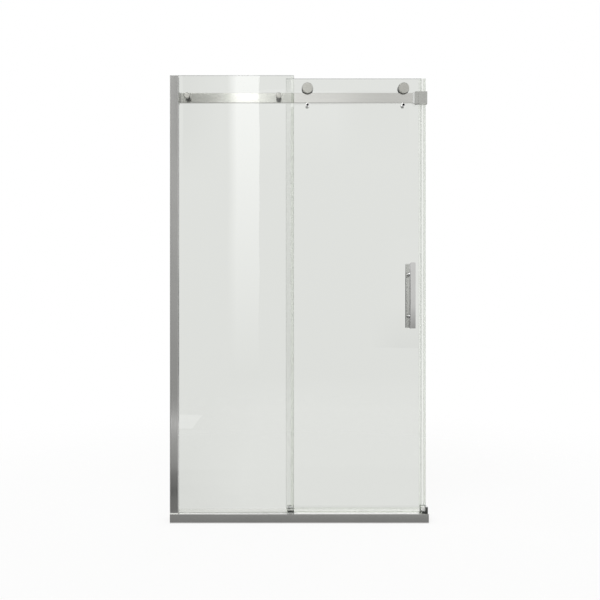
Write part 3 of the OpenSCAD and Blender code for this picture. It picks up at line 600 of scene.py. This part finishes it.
def add_sleeve(bm, lo, hi, hole_lo, hole_hi, round_radius, end_ease):
    """Square tube along X with round long edges."""
    face = add_face(bm, stand(rectangle(lo.y, lo.z, hi.y, hi.z), X, lo.x))
    ring = bmesh.ops.inset_region(
        bm, faces=[face], thickness=(hi.y - lo.y) / 8, use_boundary=True, use_even_offset=True
    )["faces"]
    for v in face.verts:
        v.co.y = hole_lo.y if v.co.y < (lo.y + hi.y) / 2 else hole_hi.y
        v.co.z = hole_lo.z if v.co.z < (lo.z + hi.z) / 2 else hole_hi.z
    bmesh.ops.delete(bm, geom=[face], context="FACES_ONLY")
    long_edges = [
        e
        for v in push(bm, ring, (hi.x - lo.x, 0.0, 0.0))
        for e in v.link_edges
        if runs_along(e, X) and lies_at(e, Y, lo.y, hi.y)
    ]
    bevel(bm, long_edges, round_radius, 4)

    def outside(v):
        return any(
            v.co[axis] < hole_lo[axis] - CLOSE or v.co[axis] > hole_hi[axis] + CLOSE for axis in (Y, Z)
        )

    ends = [e for e in bm.edges if lies_at(e, X, lo.x, hi.x) and all(map(outside, e.verts))]
    bevel(bm, [e for e in ends if is_corner(e)], end_ease, 2)


def pane(lo, hi, bores, bore_radius, edge_bevel):
    """New bmesh: a sheet of glass with round bores and a bevel round its outer edges.

    Its lower edge stands in vinyl, which takes away the grey line of the other edges.
    """
    bm = bmesh.new()
    add_loop(bm, stand(rectangle(lo.x, lo.z, hi.x, hi.z), Y, lo.y))
    for x, z in bores:
        bmesh.ops.create_circle(bm, radius=bore_radius, segments=48, matrix=to_front(x, lo.y, z))
    bmesh.ops.triangle_fill(bm, edges=bm.edges[:], use_beauty=True, normal=(0.0, -1.0, 0.0))
    push(bm, bm.faces[:], (0.0, hi.y - lo.y, 0.0))
    bmesh.ops.recalc_face_normals(bm, faces=bm.faces)

    def on_rim(v):
        return min(abs(v.co[axis] - end[axis]) for axis in (X, Z) for end in (lo, hi)) < CLOSE

    rim = [e for e in bm.edges if is_corner(e) and all(map(on_rim, e.verts))]
    bevel(bm, rim, edge_bevel, 1)
    for face in bm.faces:
        face.material_index = 0 if abs(face.normal.y) > SQUARE or face.normal.z < -0.5 else 1
    return bm


def two_centres(node):
    """Centres (x, z) of the two equal round pieces of a node, and their radius."""
    lo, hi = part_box(node)
    radius = min(hi.x - lo.x, hi.z - lo.z) / 2
    return [(lo.x + radius, lo.z + radius), (hi.x - radius, hi.z - radius)], radius


def make_object(bm, name, materials):
    """Object of a bmesh, at the origin, with its materials."""
    mesh = bpy.data.meshes.new(name)
    bm.to_mesh(mesh)
    bm.free()
    for finish in materials:
        mesh.materials.append(finish)
    made = bpy.data.objects.new(name, mesh)
    bpy.context.scene.collection.objects.link(made)
    return made


def finish_piece(bm, name, body, slot, node, *finishes):
    """Makes a piece of a bmesh, riding on its body, for the node that it stands for, if any.

    Its finishes are names of materials, or materials.
    """
    bmesh.ops.remove_doubles(bm, verts=bm.verts, dist=CLOSE)
    bmesh.ops.recalc_face_normals(bm, faces=bm.faces)
    loose = [e for e in bm.edges if len(e.link_faces) != 2]
    if loose:
        raise RuntimeError(f"{name} isn't closed: {len(loose)} edges")
    piece = make_object(bm, name, [material(f) if isinstance(f, str) else f for f in finishes])
    for face in piece.data.polygons:
        face.use_smooth = True
    piece.data.set_sharp_from_angle(angle=math.radians(32))
    evened = piece.modifiers.new("even_normals", "WEIGHTED_NORMAL")
    evened.keep_sharp = True
    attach(piece, body)
    if node:
        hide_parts(node)
    return piece


def finish_nodes(finish, *names):
    """Gives a material to pieces that stay as they were built."""
    for name in names:
        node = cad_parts[name]
        if not node.material_slots:
            node.data.materials.append(None)
        for place in node.material_slots:
            place.material = material(finish)


# Stage


# Flat cards that only reflections see, which give metal its edges. Each has two corners, the grey
# at its lower or nearer end and at the other, its strength, and the width over which its left
# side fades in. Below zero, it is the right side that fades
CARDS = {
    "foot": ((-4.0, -0.2, 0.004), (4.0, -0.05, 0.004), "#afafae", "#a2a2a1"),
    "near": ((-4.0, -0.47, 0.003), (-0.26, -0.2, 0.003), "#939392", "#939392", 1.0, -0.3),
    "seam": ((-4.0, -0.65, 0.003), (-0.3, -0.47, 0.003), "#7f7f7e", "#7f7f7e", 1.0, -0.3),
    "middle": ((-4.0, -0.97, 0.003), (-0.3, -0.65, 0.003), "#939392", "#939392", 1.0, -0.33),
    "rug": ((-4.0, -2.2, 0.003), (-0.3, -0.97, 0.003), "#d3d3d2", "#b5b5b4", 1.0, -0.38),
    "far": ((-4.0, -6.0, 0.003), (-0.3, -2.2, 0.003), "#bfbfbe", "#b8b8b7", 1.0, -0.56),
    "close": ((-0.9, -0.97, 0.002), (4.0, -0.2, 0.002), "#f0f0ef", "#f0f0ef"),
    "bright": ((-0.9, -6.0, 0.001), (4.0, -0.97, 0.001), "#bfbfbe", "#f9f9f8"),
    "streak": ((-1.3, -2.9, 0.004), (-0.8, -2.26, 0.004), "#ffffff", "#ffffff", 1.1),
    "wall": ((-5.0, -6.0, 0.0), (5.0, -6.0, 6.0), "#c0c0bf", "#f9f9f8"),
    "soft_box": ((-0.68, -4.05, 0.2), (-0.345, -4.05, 4.2), "#636363", "#ffffff", 3.6, 0.1),
    "right": ((1.1, -5.95, 1.0), (2.6, -5.95, 1.9), "#d4d4d3", "#dadad9", 1.0, 0.4),
    "right_low": ((1.1, -5.95, 0.4), (2.6, -5.95, 1.0), "#6a6a69", "#d4d4d3", 1.0, 0.4),
    "high": ((-1.46, -5.94, 3.4), (-0.93, -5.94, 4.2), "#a4a4a3", "#a4a4a3", 1.0, -0.46),
    "high_fade": ((-1.46, -5.94, 2.7), (-0.93, -5.94, 3.4), "#dbdbda", "#a4a4a3", 1.0, -0.46),
    "rail_pale": ((-0.5, -5.92, 2.9), (1.1, -5.92, 3.9), "#d6d6d5", "#ffffff", 1.1, -0.5),
    "rail_dim": ((0.62, -5.9, 2.9), (1.62, -5.9, 3.9), "#dededd", "#cfcfce", 1.0, 0.4),
    "left": ((-4.0, -3.0, 0.0), (-4.0, 2.0, 3.5), "#8a8a89", "#b4b4b3"),
    "ceiling": ((-3.0, -1.5, 4.5), (3.0, 3.0, 4.5), "#8f8f8e", "#8f8f8e"),
    "back_floor": ((-3.0, 2.5, 0.002), (1.0, 8.0, 0.002), "#d0d0d0", "#202020"),
    "back_near": ((1.0, 1.0, 0.002), (6.0, 8.0, 0.002), "#e4e4e3", "#606060", 1.0, -4.0),
    "back_wall": ((-3.0, 8.0, 0.0), (1.2, 8.0, 1.4), "#202020", "#606060"),
    "back_fade": ((-3.0, 8.0, 1.4), (1.2, 8.0, 1.9), "#606060", "#ffffff"),
    "back_pale": ((1.2, 8.0, 0.0), (4.0, 8.0, 1.9), "#c0c0c0", "#ffffff"),
    "back_side": ((-0.5, 1.0, 1.2), (-0.25, 1.0, 2.6), "#c4c4c3", "#d0d0cf"),
    "back_light": ((-4.0, 8.0, 1.9), (4.0, 8.0, 4.4), "#ffffff", "#ffffff", 1.8),
}


def seen_rays(add):
    """1 for rays of the camera, of mirrors and through clear pieces, and 0 for the rest."""
    path = add("LightPath").outputs
    direct = add("Math", {0: path["Is Camera Ray"], 1: path["Is Glossy Ray"]}, operation="ADD")
    last = path["Is Transmission Ray"]
    return add("Math", {0: direct, 1: last}, operation="ADD", use_clamp=True)


def set_light(scene, stage):
    """White all round for the eye, mirrors and glass; a softer level on the object."""
    world = bpy.data.worlds.new("studio")
    scene.world = world
    add = start_nodes(world)
    strength = add("MapRange", {"Value": seen_rays(add), "To Min": stage.sky, "To Max": 1.0})
    sky = add("Background", {"Color": WHITE, "Strength": strength})
    add("OutputWorld", {"Surface": sky})
    lamp = bpy.data.lights.new("key", "SUN")
    lamp.energy = stage.sun
    lamp.angle = math.radians(35)
    key = bpy.data.objects.new("key", lamp)
    key.rotation_euler = (math.radians(42), 0.0, math.radians(-28))
    scene.collection.objects.link(key)


def lay_floor(stage):
    """A pale floor that fades out before its far edge."""
    paint, add, place = start_material("pale_floor")
    radius = add("VectorMath", {0: place}, operation="LENGTH").outputs["Value"]
    span = {"Value": radius, "From Min": 1.2, "From Max": 3.4}
    fade = add("MapRange", span, interpolation_type="SMOOTHSTEP")
    grain = add("TexNoise", {"Vector": place, "Scale": 40.0})
    ends = {0: grain, 6: toned(stage.floor), 7: toned(stage.floor, 0.99)}
    tint = add("Mix", ends, data_type="RGBA")
    matt = add("BsdfDiffuse", {"Color": tint.outputs[2]})
    # The eye and mirrors see part of the floor as plain white; lamps and shadows fall on it all
    lift = add("Math", {0: seen_rays(add), 1: stage.floor_white}, operation="MULTIPLY")
    plain = add("Emission", {"Color": WHITE, "Strength": 1.0})
    lit = add("MixShader", {0: lift, 1: matt, 2: plain})
    gone = add("BsdfTransparent")
    mixed = add("MixShader", {0: fade, 1: lit, 2: gone})
    add("OutputMaterial", {"Surface": mixed})
    bm = bmesh.new()
    bmesh.ops.create_grid(bm, x_segments=1, y_segments=1, size=4.0)
    floor = make_object(bm, "floor", [paint])


def hang_card(name, lo, hi, low_grey, high_grey, strength=1.0, soft=0.0):
    """Hangs one of the cards, hidden from all but reflections."""
    normal = min(range(3), key=lambda axis: hi[axis] - lo[axis])
    across, up = [axis for axis in range(3) if axis != normal]
    bm = bmesh.new()
    add_face(bm, stand(rectangle(lo[across], lo[up], hi[across], hi[up]), normal, lo[normal]))
    paint, add, point = start_material(name)
    split = add("SeparateXYZ", {0: point}).outputs
    rise = add("MapRange", {"Value": split[up], "From Min": lo[up], "From Max": hi[up]})
    grey = add("Mix", {0: rise, 6: linear(low_grey), 7: linear(high_grey)}, data_type="RGBA")
    glow = add("Emission", {"Color": grey.outputs[2], "Strength": strength})
    side = hi[across] + MM if soft < 0 else lo[across] - MM
    span = {"Value": split[across], "From Min": side, "From Max": side + (soft or MM)}
    edge = add("MapRange", span)
    gone = add("BsdfTransparent")
    faded = add("MixShader", {0: edge, 1: gone, 2: glow})
    add("OutputMaterial", {"Surface": faded})
    card = make_object(bm, name, [paint])
    for ray in ("camera", "diffuse", "transmission", "volume_scatter", "shadow"):
        setattr(card, "visible_" + ray, False)


class SHOWERDOOR_OT_stage(bpy.types.Operator):
    """Set up the camera, the lamps, the floor and the cards that reflections see"""

    bl_idname = "shower_door.stage"
    bl_label = "Stage"

    def execute(self, context):
        scene = context.scene
        stage = scene.shower_door_stage
        scene.view_settings.view_transform = "Standard"
        data = bpy.data.cameras.new("camera")
        data.lens = stage.camera_lens
        data.sensor_width = 36.0
        data.shift_x, data.shift_y = stage.camera_shift
        camera = bpy.data.objects.new("camera", data)
        camera.location = stage.camera_place
        camera.rotation_euler = (math.pi / 2, 0.0, 0.0)
        scene.collection.objects.link(camera)
        scene.camera = camera
        set_light(scene, stage)
        lay_floor(stage)
        for name, card in CARDS.items():
            hang_card("card_" + name, *card)
        return {"FINISHED"}


# Pieces


class SHOWERDOOR_OT_sill(bpy.types.Operator):
    """Model the sill's extrusion with its glazing channel, and finish what lies in it"""

    bl_idname = "shower_door.sill"
    bl_label = "Sill"

    def execute(self, context):
        s = sizes()
        lo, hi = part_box("sill")
        strip_lo, strip_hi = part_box("sill_gasket")
        floor_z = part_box("setting_blocks")[0].z
        rib_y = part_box("door_panel")[0].y - 3 * MM
        line_top = hi.z - s.line_drop
        line_low = line_top - s.line_height
        line_y = lo.y + s.line_depth
        w = s.sill_wall
        outline = [(lo.y, lo.z), (hi.y, lo.z), (hi.y, hi.z), (strip_hi.y, hi.z), (strip_hi.y, floor_z)]
        outline += [(strip_lo.y, floor_z), (strip_lo.y, hi.z), (lo.y, hi.z)]
        outline += [(lo.y, line_top), (line_y, line_top), (line_y, line_low), (lo.y, line_low)]
        hollows = [
            (lo.y + w, lo.z + w, strip_lo.y - w, line_low - w / 2),
            (strip_lo.y, lo.z + w, strip_hi.y, floor_z - w),
            (strip_hi.y + w, lo.z + w, rib_y - w / 2, hi.z - w),
            (rib_y + w / 2, lo.z + w, hi.y - w, hi.z - w),
        ]
        rounds = [(s.sill_round, (0, 1, 2, 7)), (0.3 * MM, (3, 6))]
        bm = section(outline, X, lo.x, hi.x, rounds, hollows)
        finish_piece(bm, "sill_extrusion", "frame", "bright_aluminium", "sill", "anodised_aluminium_sill")
        finish_nodes("anodised_aluminium_sill", "sill_filler")
        # The glazing strip's milky white is a painted highlight along the sill's top edge
        finish_nodes("milky_vinyl", "sill_gasket")
        finish_nodes("black_rubber", "setting_blocks")
        return {"FINISHED"}


class SHOWERDOOR_OT_post(bpy.types.Operator):
    """Model the post's extrusion and cap, and finish the channel, strips, pad and screws"""

    bl_idname = "shower_door.post"
    bl_label = "Wall post"

    def execute(self, context):
        s = sizes()
        lo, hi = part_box("jamb_profile")
        strip_lo, strip_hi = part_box("jamb_gasket")
        w = s.post_wall
        web = strip_lo.x - 2 * MM

        def slotted(lo, hi, slot_x):
            """Outline seen from above, open at its right for the strip."""
            y0, y1 = strip_lo.y, strip_hi.y
            slot = [(hi.x, y0), (slot_x, y0), (slot_x, y1), (hi.x, y1)]
            return [(lo.x, lo.y), (hi.x, lo.y), *slot, (hi.x, hi.y), (lo.x, hi.y)]

        outline = slotted(lo, hi, web)
        outline += [(lo.x, hi.y - w), (web - w, hi.y - w), (web - w, lo.y + w), (lo.x, lo.y + w)]
        front = (web, lo.y + w, hi.x - w, strip_lo.y - w)
        rear = (web, strip_hi.y + w, hi.x - w, hi.y - w)
        round_ends = (s.post_round, (0, 1, 6, 7))
        bm = section(outline, Z, lo.z, hi.z, [round_ends, (0.4 * MM, (2, 5))], [front, rear])
        metal = "anodised_aluminium_post"
        finish_piece(bm, "post_extrusion", "frame", "bright_aluminium", "jamb_profile", metal)
        cap_lo, cap_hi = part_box("jamb_cap")
        outline = slotted(cap_lo, cap_hi, strip_lo.x - 0.3 * MM)
        bm = section(outline, Z, hi.z, cap_hi.z, [round_ends])
        bmesh.ops.recalc_face_normals(bm, faces=bm.faces)
        upper = [e for e in bm.edges if is_corner(e) and lies_at(e, Z, cap_hi.z)]
        bevel(bm, upper, 0.5 * MM, 2)
        finish_piece(bm, "post_cap", "frame", "bright_aluminium", "jamb_cap", metal)
        finish_nodes("mill_aluminium", "wall_channel")
        # The post's strip has the same milky white, a painted highlight
        finish_nodes("milky_vinyl", "jamb_gasket")
        finish_nodes("moulded_white_nylon", "jamb_foot")
        finish_nodes("plain_steel", "jamb_screws")
        return {"FINISHED"}


class SHOWERDOOR_OT_panes(bpy.types.Operator):
    """Model the fixed glass and the door glass with their bores, and finish the seals"""

    bl_idname = "shower_door.panes"
    bl_label = "Glass and seals"

    def execute(self, context):
        s = sizes()
        for node, body, fittings in (
            ("fixed_panel", "frame", ["standoff_caps"]),
            ("door_panel", "door", ["roller_caps", "anti_lift_pins", "handle_standoffs"]),
        ):
            centres = [centre for fitting in fittings for centre in two_centres(fitting)[0]]
            bm = pane(*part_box(node), centres, s.bore_radius, s.pane_bevel)
            name = node.replace("panel", "pane")
            finish_piece(bm, name, body, "clear_glass", node, "float_glass", "polished_glass_edge")
        finish_nodes("upright_vinyl", "fixed_panel_seal", "strike_seal")
        finish_nodes("level_vinyl", "door_sweep")
        finish_nodes("moulded_white_nylon", "glass_sleeves", "standoff_sleeves")
        return {"FINISHED"}


class SHOWERDOOR_OT_rail(bpy.types.Operator):
    """Finish the header rail, and model its brackets and bumper"""

    bl_idname = "shower_door.rail"
    bl_label = "Header rail"

    def execute(self, context):
        s = sizes()
        finish_nodes("belt_polished_steel", "header_rail")
        rail_lo, rail_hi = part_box("header_rail")
        corner_round = 2 * MM
        for side in ("right", "left"):
            node = "rail_bracket_" + side
            lo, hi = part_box(node)
            spans = [(lo.x, hi.x, 0.0)]
            if side == "right":
                # A groove 2 mm wide and 1 mm deep parts the collar from the block
                collar = lo.x + 13 * MM
                block = collar + 2 * MM
                spans = [(lo.x, collar, 0.0), (collar, block, 1.0 * MM), (block, hi.x, 0.0)]
            bm = bmesh.new()
            for x0, x1, inset in spans:
                shrink = Vector((0.0, inset, inset))
                part_lo = Vector((x0, lo.y, lo.z)) + shrink
                part_hi = Vector((x1, hi.y, hi.z)) - shrink
                hole_lo, hole_hi = rail_lo - shrink * 0.2, rail_hi + shrink * 0.2
                add_sleeve(bm, part_lo, part_hi, hole_lo, hole_hi, corner_round - inset, s.part_ease)
            finish_piece(bm, "rail_sleeve_" + side, "frame", "rail_fitting", node, "satin_stainless")
            node = "bracket_base_" + side
            bm = eased_copy(node, s.part_ease)
            finish_piece(bm, "rail_base_" + side, "frame", "rail_fitting", node, "satin_stainless")
        bm = bmesh.new()
        add_sleeve(bm, *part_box("rail_bumper"), rail_lo, rail_hi, corner_round, 1.5 * MM)
        finish_piece(bm, "rail_bumper_soft", "frame", "pale_bumper", "rail_bumper", "soft_pale_rubber")
        finish_nodes("plain_steel", "rail_screws", "bracket_set_screws")
        return {"FINISHED"}


class SHOWERDOOR_OT_standoffs(bpy.types.Operator):
    """Turn the two stand-offs that hold the fixed glass to the rail"""

    bl_idname = "shower_door.standoffs"
    bl_label = "Stand-offs"

    def execute(self, context):
        s = sizes()
        node = "standoff_caps"
        centres, r = two_centres(node)
        lo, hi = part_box(node)
        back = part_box("standoff_washers")[0].y
        stud = s.stud_radius
        profile = [
            (0.0, lo.y),
            *steps_from(r, lo.y, (-2.6, 0.0), (-2.2, 0.15), (-0.5, 1.7), (0.0, 2.8)),
            *steps_from(r, back, (0.0, -0.5), (-0.5, 0.0)),
            (stud, back), (stud, hi.y), (0.0, hi.y),
        ]
        bm = turned(centres, profile)
        finish_piece(bm, "standoff_caps_turned", "frame", "chrome", node, "satin_chrome_plate")
        node = "standoff_barrels"
        lo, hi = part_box(node)
        r = (hi.z - lo.z) / 2
        hole = stud + s.fit
        profile = [(hole, lo.y), *steps_from(r, lo.y, (-0.6, 0.0), (0.0, 0.6))]
        for line in (lo.y + 3.5 * MM, hi.y - 4.5 * MM):
            profile += steps_from(r, line, (0.0, 0.0), (-0.5, 0.2), (-0.5, 0.8), (0.0, 1.0))
        profile += [*steps_from(r, hi.y, (0.0, -0.6), (-0.6, 0.0)), (hole, hi.y)]
        bm = turned(centres, profile, closed=True)
        # The barrels are black nylon, and their black is partly painted shade under the caps
        finish_piece(bm, "standoff_barrels_turned", "frame", "black_nylon", node, "turned_black_nylon")
        finish_nodes("clear_polythene", "standoff_washers")
        return {"FINISHED"}


def finish_caps(bm, node, centres):
    """Gives each of the two discs the faced material, with rings about its own centre."""
    faces = [
        material("faced_stainless", place, x=x, z=z)
        for place, (x, z) in zip(("_left", "_right"), centres)
    ]
    caps = finish_piece(bm, node + "_turned", "door", "satin_steel", node, *faces)
    middle = (centres[0][0] + centres[1][0]) / 2
    for face in caps.data.polygons:
        face.material_index = int(face.center.x > middle)


def turn_inner_caps(s, centres):
    """Inner caps, each with its hexagon socket and a blind hole for the axle."""
    lo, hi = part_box("roller_inner_caps")
    r = (hi.z - lo.z) / 2
    hole = s.stud_radius + s.fit
    floor_y = lo.y + 6.0 * MM
    rim = 6.5 * MM
    profile = [
        (rim, hi.y),
        *steps_from(r, hi.y, (-1.4, 0.0), (-0.4, -0.5), (0.0, -1.6)),
        *steps_from(r, lo.y, (0.0, 0.4), (-0.4, 0.0)),
        (hole, lo.y), (hole, floor_y), (0.0, floor_y),
    ]
    bm = turned(centres, profile)
    add_sockets(bm, centres, rim, hi.y, hi.y - 2.5 * MM)
    finish_caps(bm, "roller_inner_caps", centres)


def turn_wheel(s, side, centre):
    """Wheel with a grooved tread, rims and a sunk web on both faces."""
    lo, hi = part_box("wheel_" + side)
    outer = (hi.z - lo.z) / 2
    mid = (lo.y + hi.y) / 2
    half = (hi.y - lo.y) / 2
    tread = 19.0 * MM
    bore = s.bearing_radius
    web = half - 0.9 * MM
    face = [(13.2 * MM, half), (13.8 * MM, web), (21.4 * MM, web), (22.0 * MM, half)]
    face += steps_from(outer, half, (-0.6, 0.0), (-0.18, -0.18), (0.0, -0.6))
    face += steps_from(outer, s.groove_half, (0.0, 0.6), (-0.4, 0.2))
    face += steps_from(tread, s.groove_half, (0.3, -0.1), (0.0, -0.4))
    front = [(bore, mid - half)] + [(r, mid - y) for r, y in face]
    back = [(r, mid + y) for r, y in reversed(face)]
    # A lip keeps the bearing from going through
    lip_radius, lip_y = 9.5 * MM, mid + 3.5 * MM
    lip = [(lip_radius, mid + half), (lip_radius, lip_y), (bore, lip_y)]
    bm = turned([centre], front + back + lip, closed=True, steps=96)
    name, node = f"wheel_{side}_turned", "wheel_" + side
    finish_piece(bm, name, "roller_" + side, "wheel_polymer", node, "moulded_grey_nylon")


class SHOWERDOOR_OT_rollers(bpy.types.Operator):
    """Turn the wheels, their front caps and inner caps, and finish axles and bearings"""

    bl_idname = "shower_door.rollers"
    bl_label = "Wheels"

    def execute(self, context):
        s = sizes()
        centres, r = two_centres("roller_caps")
        lo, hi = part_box("roller_caps")
        back = lo.y + s.cap_disc
        hub = 6.0 * MM
        profile = [
            (0.0, lo.y),
            *steps_from(r, lo.y, (-2.2, 0.0), (-1.8, 0.15), (-0.3, 1.6), (0.0, 2.4)),
            *steps_from(r, back, (0.0, -0.5), (-0.5, 0.0)),
            (hub, back), (hub, hi.y), (0.0, hi.y),
        ]
        finish_caps(turned(centres, profile, steps=96), "roller_caps", centres)
        turn_inner_caps(s, centres)
        for side, centre in zip(("left", "right"), centres):
            turn_wheel(s, side, centre)
        finish_nodes("clear_polythene", "roller_washers")
        finish_nodes("plain_steel", "roller_axles", "roller_spacers", "bearing_inner_rings")
        finish_nodes("plain_steel", "bearing_left", "bearing_right", "balls_left", "balls_right")
        return {"FINISHED"}


class SHOWERDOOR_OT_lift_pins(bpy.types.Operator):
    """Turn the anti-lift pins under the rail, each with its hexagon socket"""

    bl_idname = "shower_door.lift_pins"
    bl_label = "Anti-lift pins"

    def execute(self, context):
        node = "anti_lift_pins"
        centres, r = two_centres(node)
        lo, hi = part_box(node)
        screw = 3.05 * MM
        screw_floor = hi.y - 12 * MM
        rim = 5.2 * MM
        profile = [
            (rim, lo.y),
            *steps_from(r, lo.y, (-1.2, 0.0), (-0.35, 0.35), (0.0, 1.2)),
            *steps_from(r, hi.y, (0.0, -0.4), (-0.4, 0.0)),
            (screw, hi.y), (screw, screw_floor), (0.0, screw_floor),
        ]
        bm = turned(centres, profile)
        add_sockets(bm, centres, rim, lo.y, lo.y + 3.5 * MM)
        finishes = ["chrome_plate", "black_oxide_steel"]
        pins = finish_piece(bm, "lift_pins_turned", "door", "chrome", node, *finishes)
        # The screw's head, inside the rim, is blackened
        for face in pins.data.polygons:
            spot = min((Vector((x, face.center.y, z)) - face.center).length for x, z in centres)
            face.material_index = int(spot < rim and face.center.y < lo.y + 4 * MM)
        finish_nodes("clear_polythene", "anti_lift_washers")
        finish_nodes("plain_steel", "anti_lift_screws")
        return {"FINISHED"}


class SHOWERDOOR_OT_handle(bpy.types.Operator):
    """Model the two pull bars and turn their stand-offs"""

    bl_idname = "shower_door.handle"
    bl_label = "Handle"

    def execute(self, context):
        s = sizes()
        for node in ("handle_outer", "handle_inner"):
            bm = bar(*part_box(node), Z, s.bar_round, s.bar_ease)
            finish_piece(bm, node + "_bar", "door", "chrome", node, "chrome_plate")
        node = "handle_standoffs"
        centres, r = two_centres(node)
        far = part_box(node)[1].y
        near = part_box("handle_washers")[1].y
        hole = s.stud_radius + s.fit
        depth = near + 16 * MM
        profile = [
            (0.0, depth), (hole, depth), (hole, near),
            *steps_from(r, near, (-0.4, 0.0), (0.0, 0.4), (0.0, 4.0), (-0.8, 4.8)),
            *steps_from(r, far, (-0.8, -0.8), (0.0, 0.0)),
            (0.0, far),
        ]
        bm = turned(centres, [(radius, -y) for radius, y in profile], profile)
        finish_piece(bm, "handle_standoffs_turned", "door", "chrome", node, "chrome_plate")
        finish_nodes("clear_polythene", "handle_washers")
        finish_nodes("plain_steel", "handle_bolts")
        return {"FINISHED"}


class SHOWERDOOR_OT_guides(bpy.types.Operator):
    """Ease the edges of the bottom guide, the corner guide and the open stop, and finish them"""

    bl_idname = "shower_door.guides"
    bl_label = "Guides"

    def execute(self, context):
        # The guides' dark chrome is partly a painted dark reflection
        finishes = ["dark_chrome_plate", "plain_steel", "moulded_white_nylon"]
        ground, pale = 1, 2
        for node in ("bottom_guide", "corner_guide", "open_stop"):
            bm = eased_copy(node, sizes().part_ease)
            cast = finish_piece(bm, node + "_cast", "frame", "dark_chrome", node, *finishes)
            # The top is ground bright. The rear cheek is lined where it faces the glass, and the
            # bottom guide's front has a pale band below its chamfer, a painted highlight in white nylon
            lo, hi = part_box(node)
            band_z = lo.z + 13 * MM
            for face in cast.data.polygons:
                spot, normal = face.center, face.normal
                rear = spot.y > 0.0
                if spot.z > hi.z - MM and (normal.z > SQUARE or normal.z > 0.3 and rear):
                    face.material_index = ground
                elif node != "open_stop" and normal.y < -SQUARE and rear:
                    face.material_index = pale
                # On the bottom guide's front, the pale band is a painted highlight
                elif node == "bottom_guide" and spot.y < lo.y + CLOSE and spot.z > band_z:
                    face.material_index = pale
        # The pale strip in the groove of the bottom guide's front: a painted highlight in white nylon
        lo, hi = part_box("bottom_guide")
        highlight_lo = lo + Vector((0.5, 0.2, 9.6)) * MM
        highlight_hi = Vector((hi.x, lo.y, lo.z)) + Vector((-0.5, 1.1, 12.4)) * MM
        bm = bar(highlight_lo, highlight_hi, X, 0.3 * MM, 0.2 * MM)
        finish_piece(bm, "bottom_guide_inlay", "frame", "white_nylon", None, "moulded_white_nylon")
        finish_nodes("moulded_white_nylon", "guide_liners", "corner_insert")
        finish_nodes("plain_steel", "guide_screws", "corner_screws")
        finish_nodes("black_rubber", "open_stop_pad")
        return {"FINISHED"}


class SHOWERDOOR_PT_sidebar(bpy.types.Panel):
    """Lists the steps that build the finished door"""

    bl_idname = "SHOWERDOOR_PT_sidebar"
    bl_label = "Shower Door"
    bl_space_type = "VIEW_3D"
    bl_region_type = "UI"
    bl_category = "Shower Door"

    def draw(self, context):
        for step in STEPS:
            self.layout.operator(step.bl_idname)
        for group, fields in GROUPS.items():
            settings = getattr(context.scene, group)
            for field in fields.__annotations__:
                self.layout.prop(settings, field)


STEPS = (
    SHOWERDOOR_OT_stage,
    SHOWERDOOR_OT_sill,
    SHOWERDOOR_OT_post,
    SHOWERDOOR_OT_panes,
    SHOWERDOOR_OT_rail,
    SHOWERDOOR_OT_standoffs,
    SHOWERDOOR_OT_rollers,
    SHOWERDOOR_OT_lift_pins,
    SHOWERDOOR_OT_handle,
    SHOWERDOOR_OT_guides,
)
GROUPS = {
    "shower_door_sizes": ShowerDoorSizes,
    "shower_door_finishes": ShowerDoorFinishes,
    "shower_door_stage": ShowerDoorStage,
}


def register():
    for group, settings in GROUPS.items():
        bpy.utils.register_class(settings)
        setattr(bpy.types.Scene, group, PointerProperty(type=settings))
    for step in STEPS:
        bpy.utils.register_class(step)
    bpy.utils.register_class(SHOWERDOOR_PT_sidebar)


def unregister():
    bpy.utils.unregister_class(SHOWERDOOR_PT_sidebar)
    for step in reversed(STEPS):
        bpy.utils.unregister_class(step)
    for group, settings in GROUPS.items():
        delattr(bpy.types.Scene, group)
        bpy.utils.unregister_class(settings)


def main():
    register()
    bpy.ops.shower_door.stage()
    bpy.ops.shower_door.sill()
    bpy.ops.shower_door.post()
    bpy.ops.shower_door.panes()
    bpy.ops.shower_door.rail()
    bpy.ops.shower_door.standoffs()
    bpy.ops.shower_door.rollers()
    bpy.ops.shower_door.lift_pins()
    bpy.ops.shower_door.handle()
    bpy.ops.shower_door.guides()


if __name__ == "__main__":
    main()
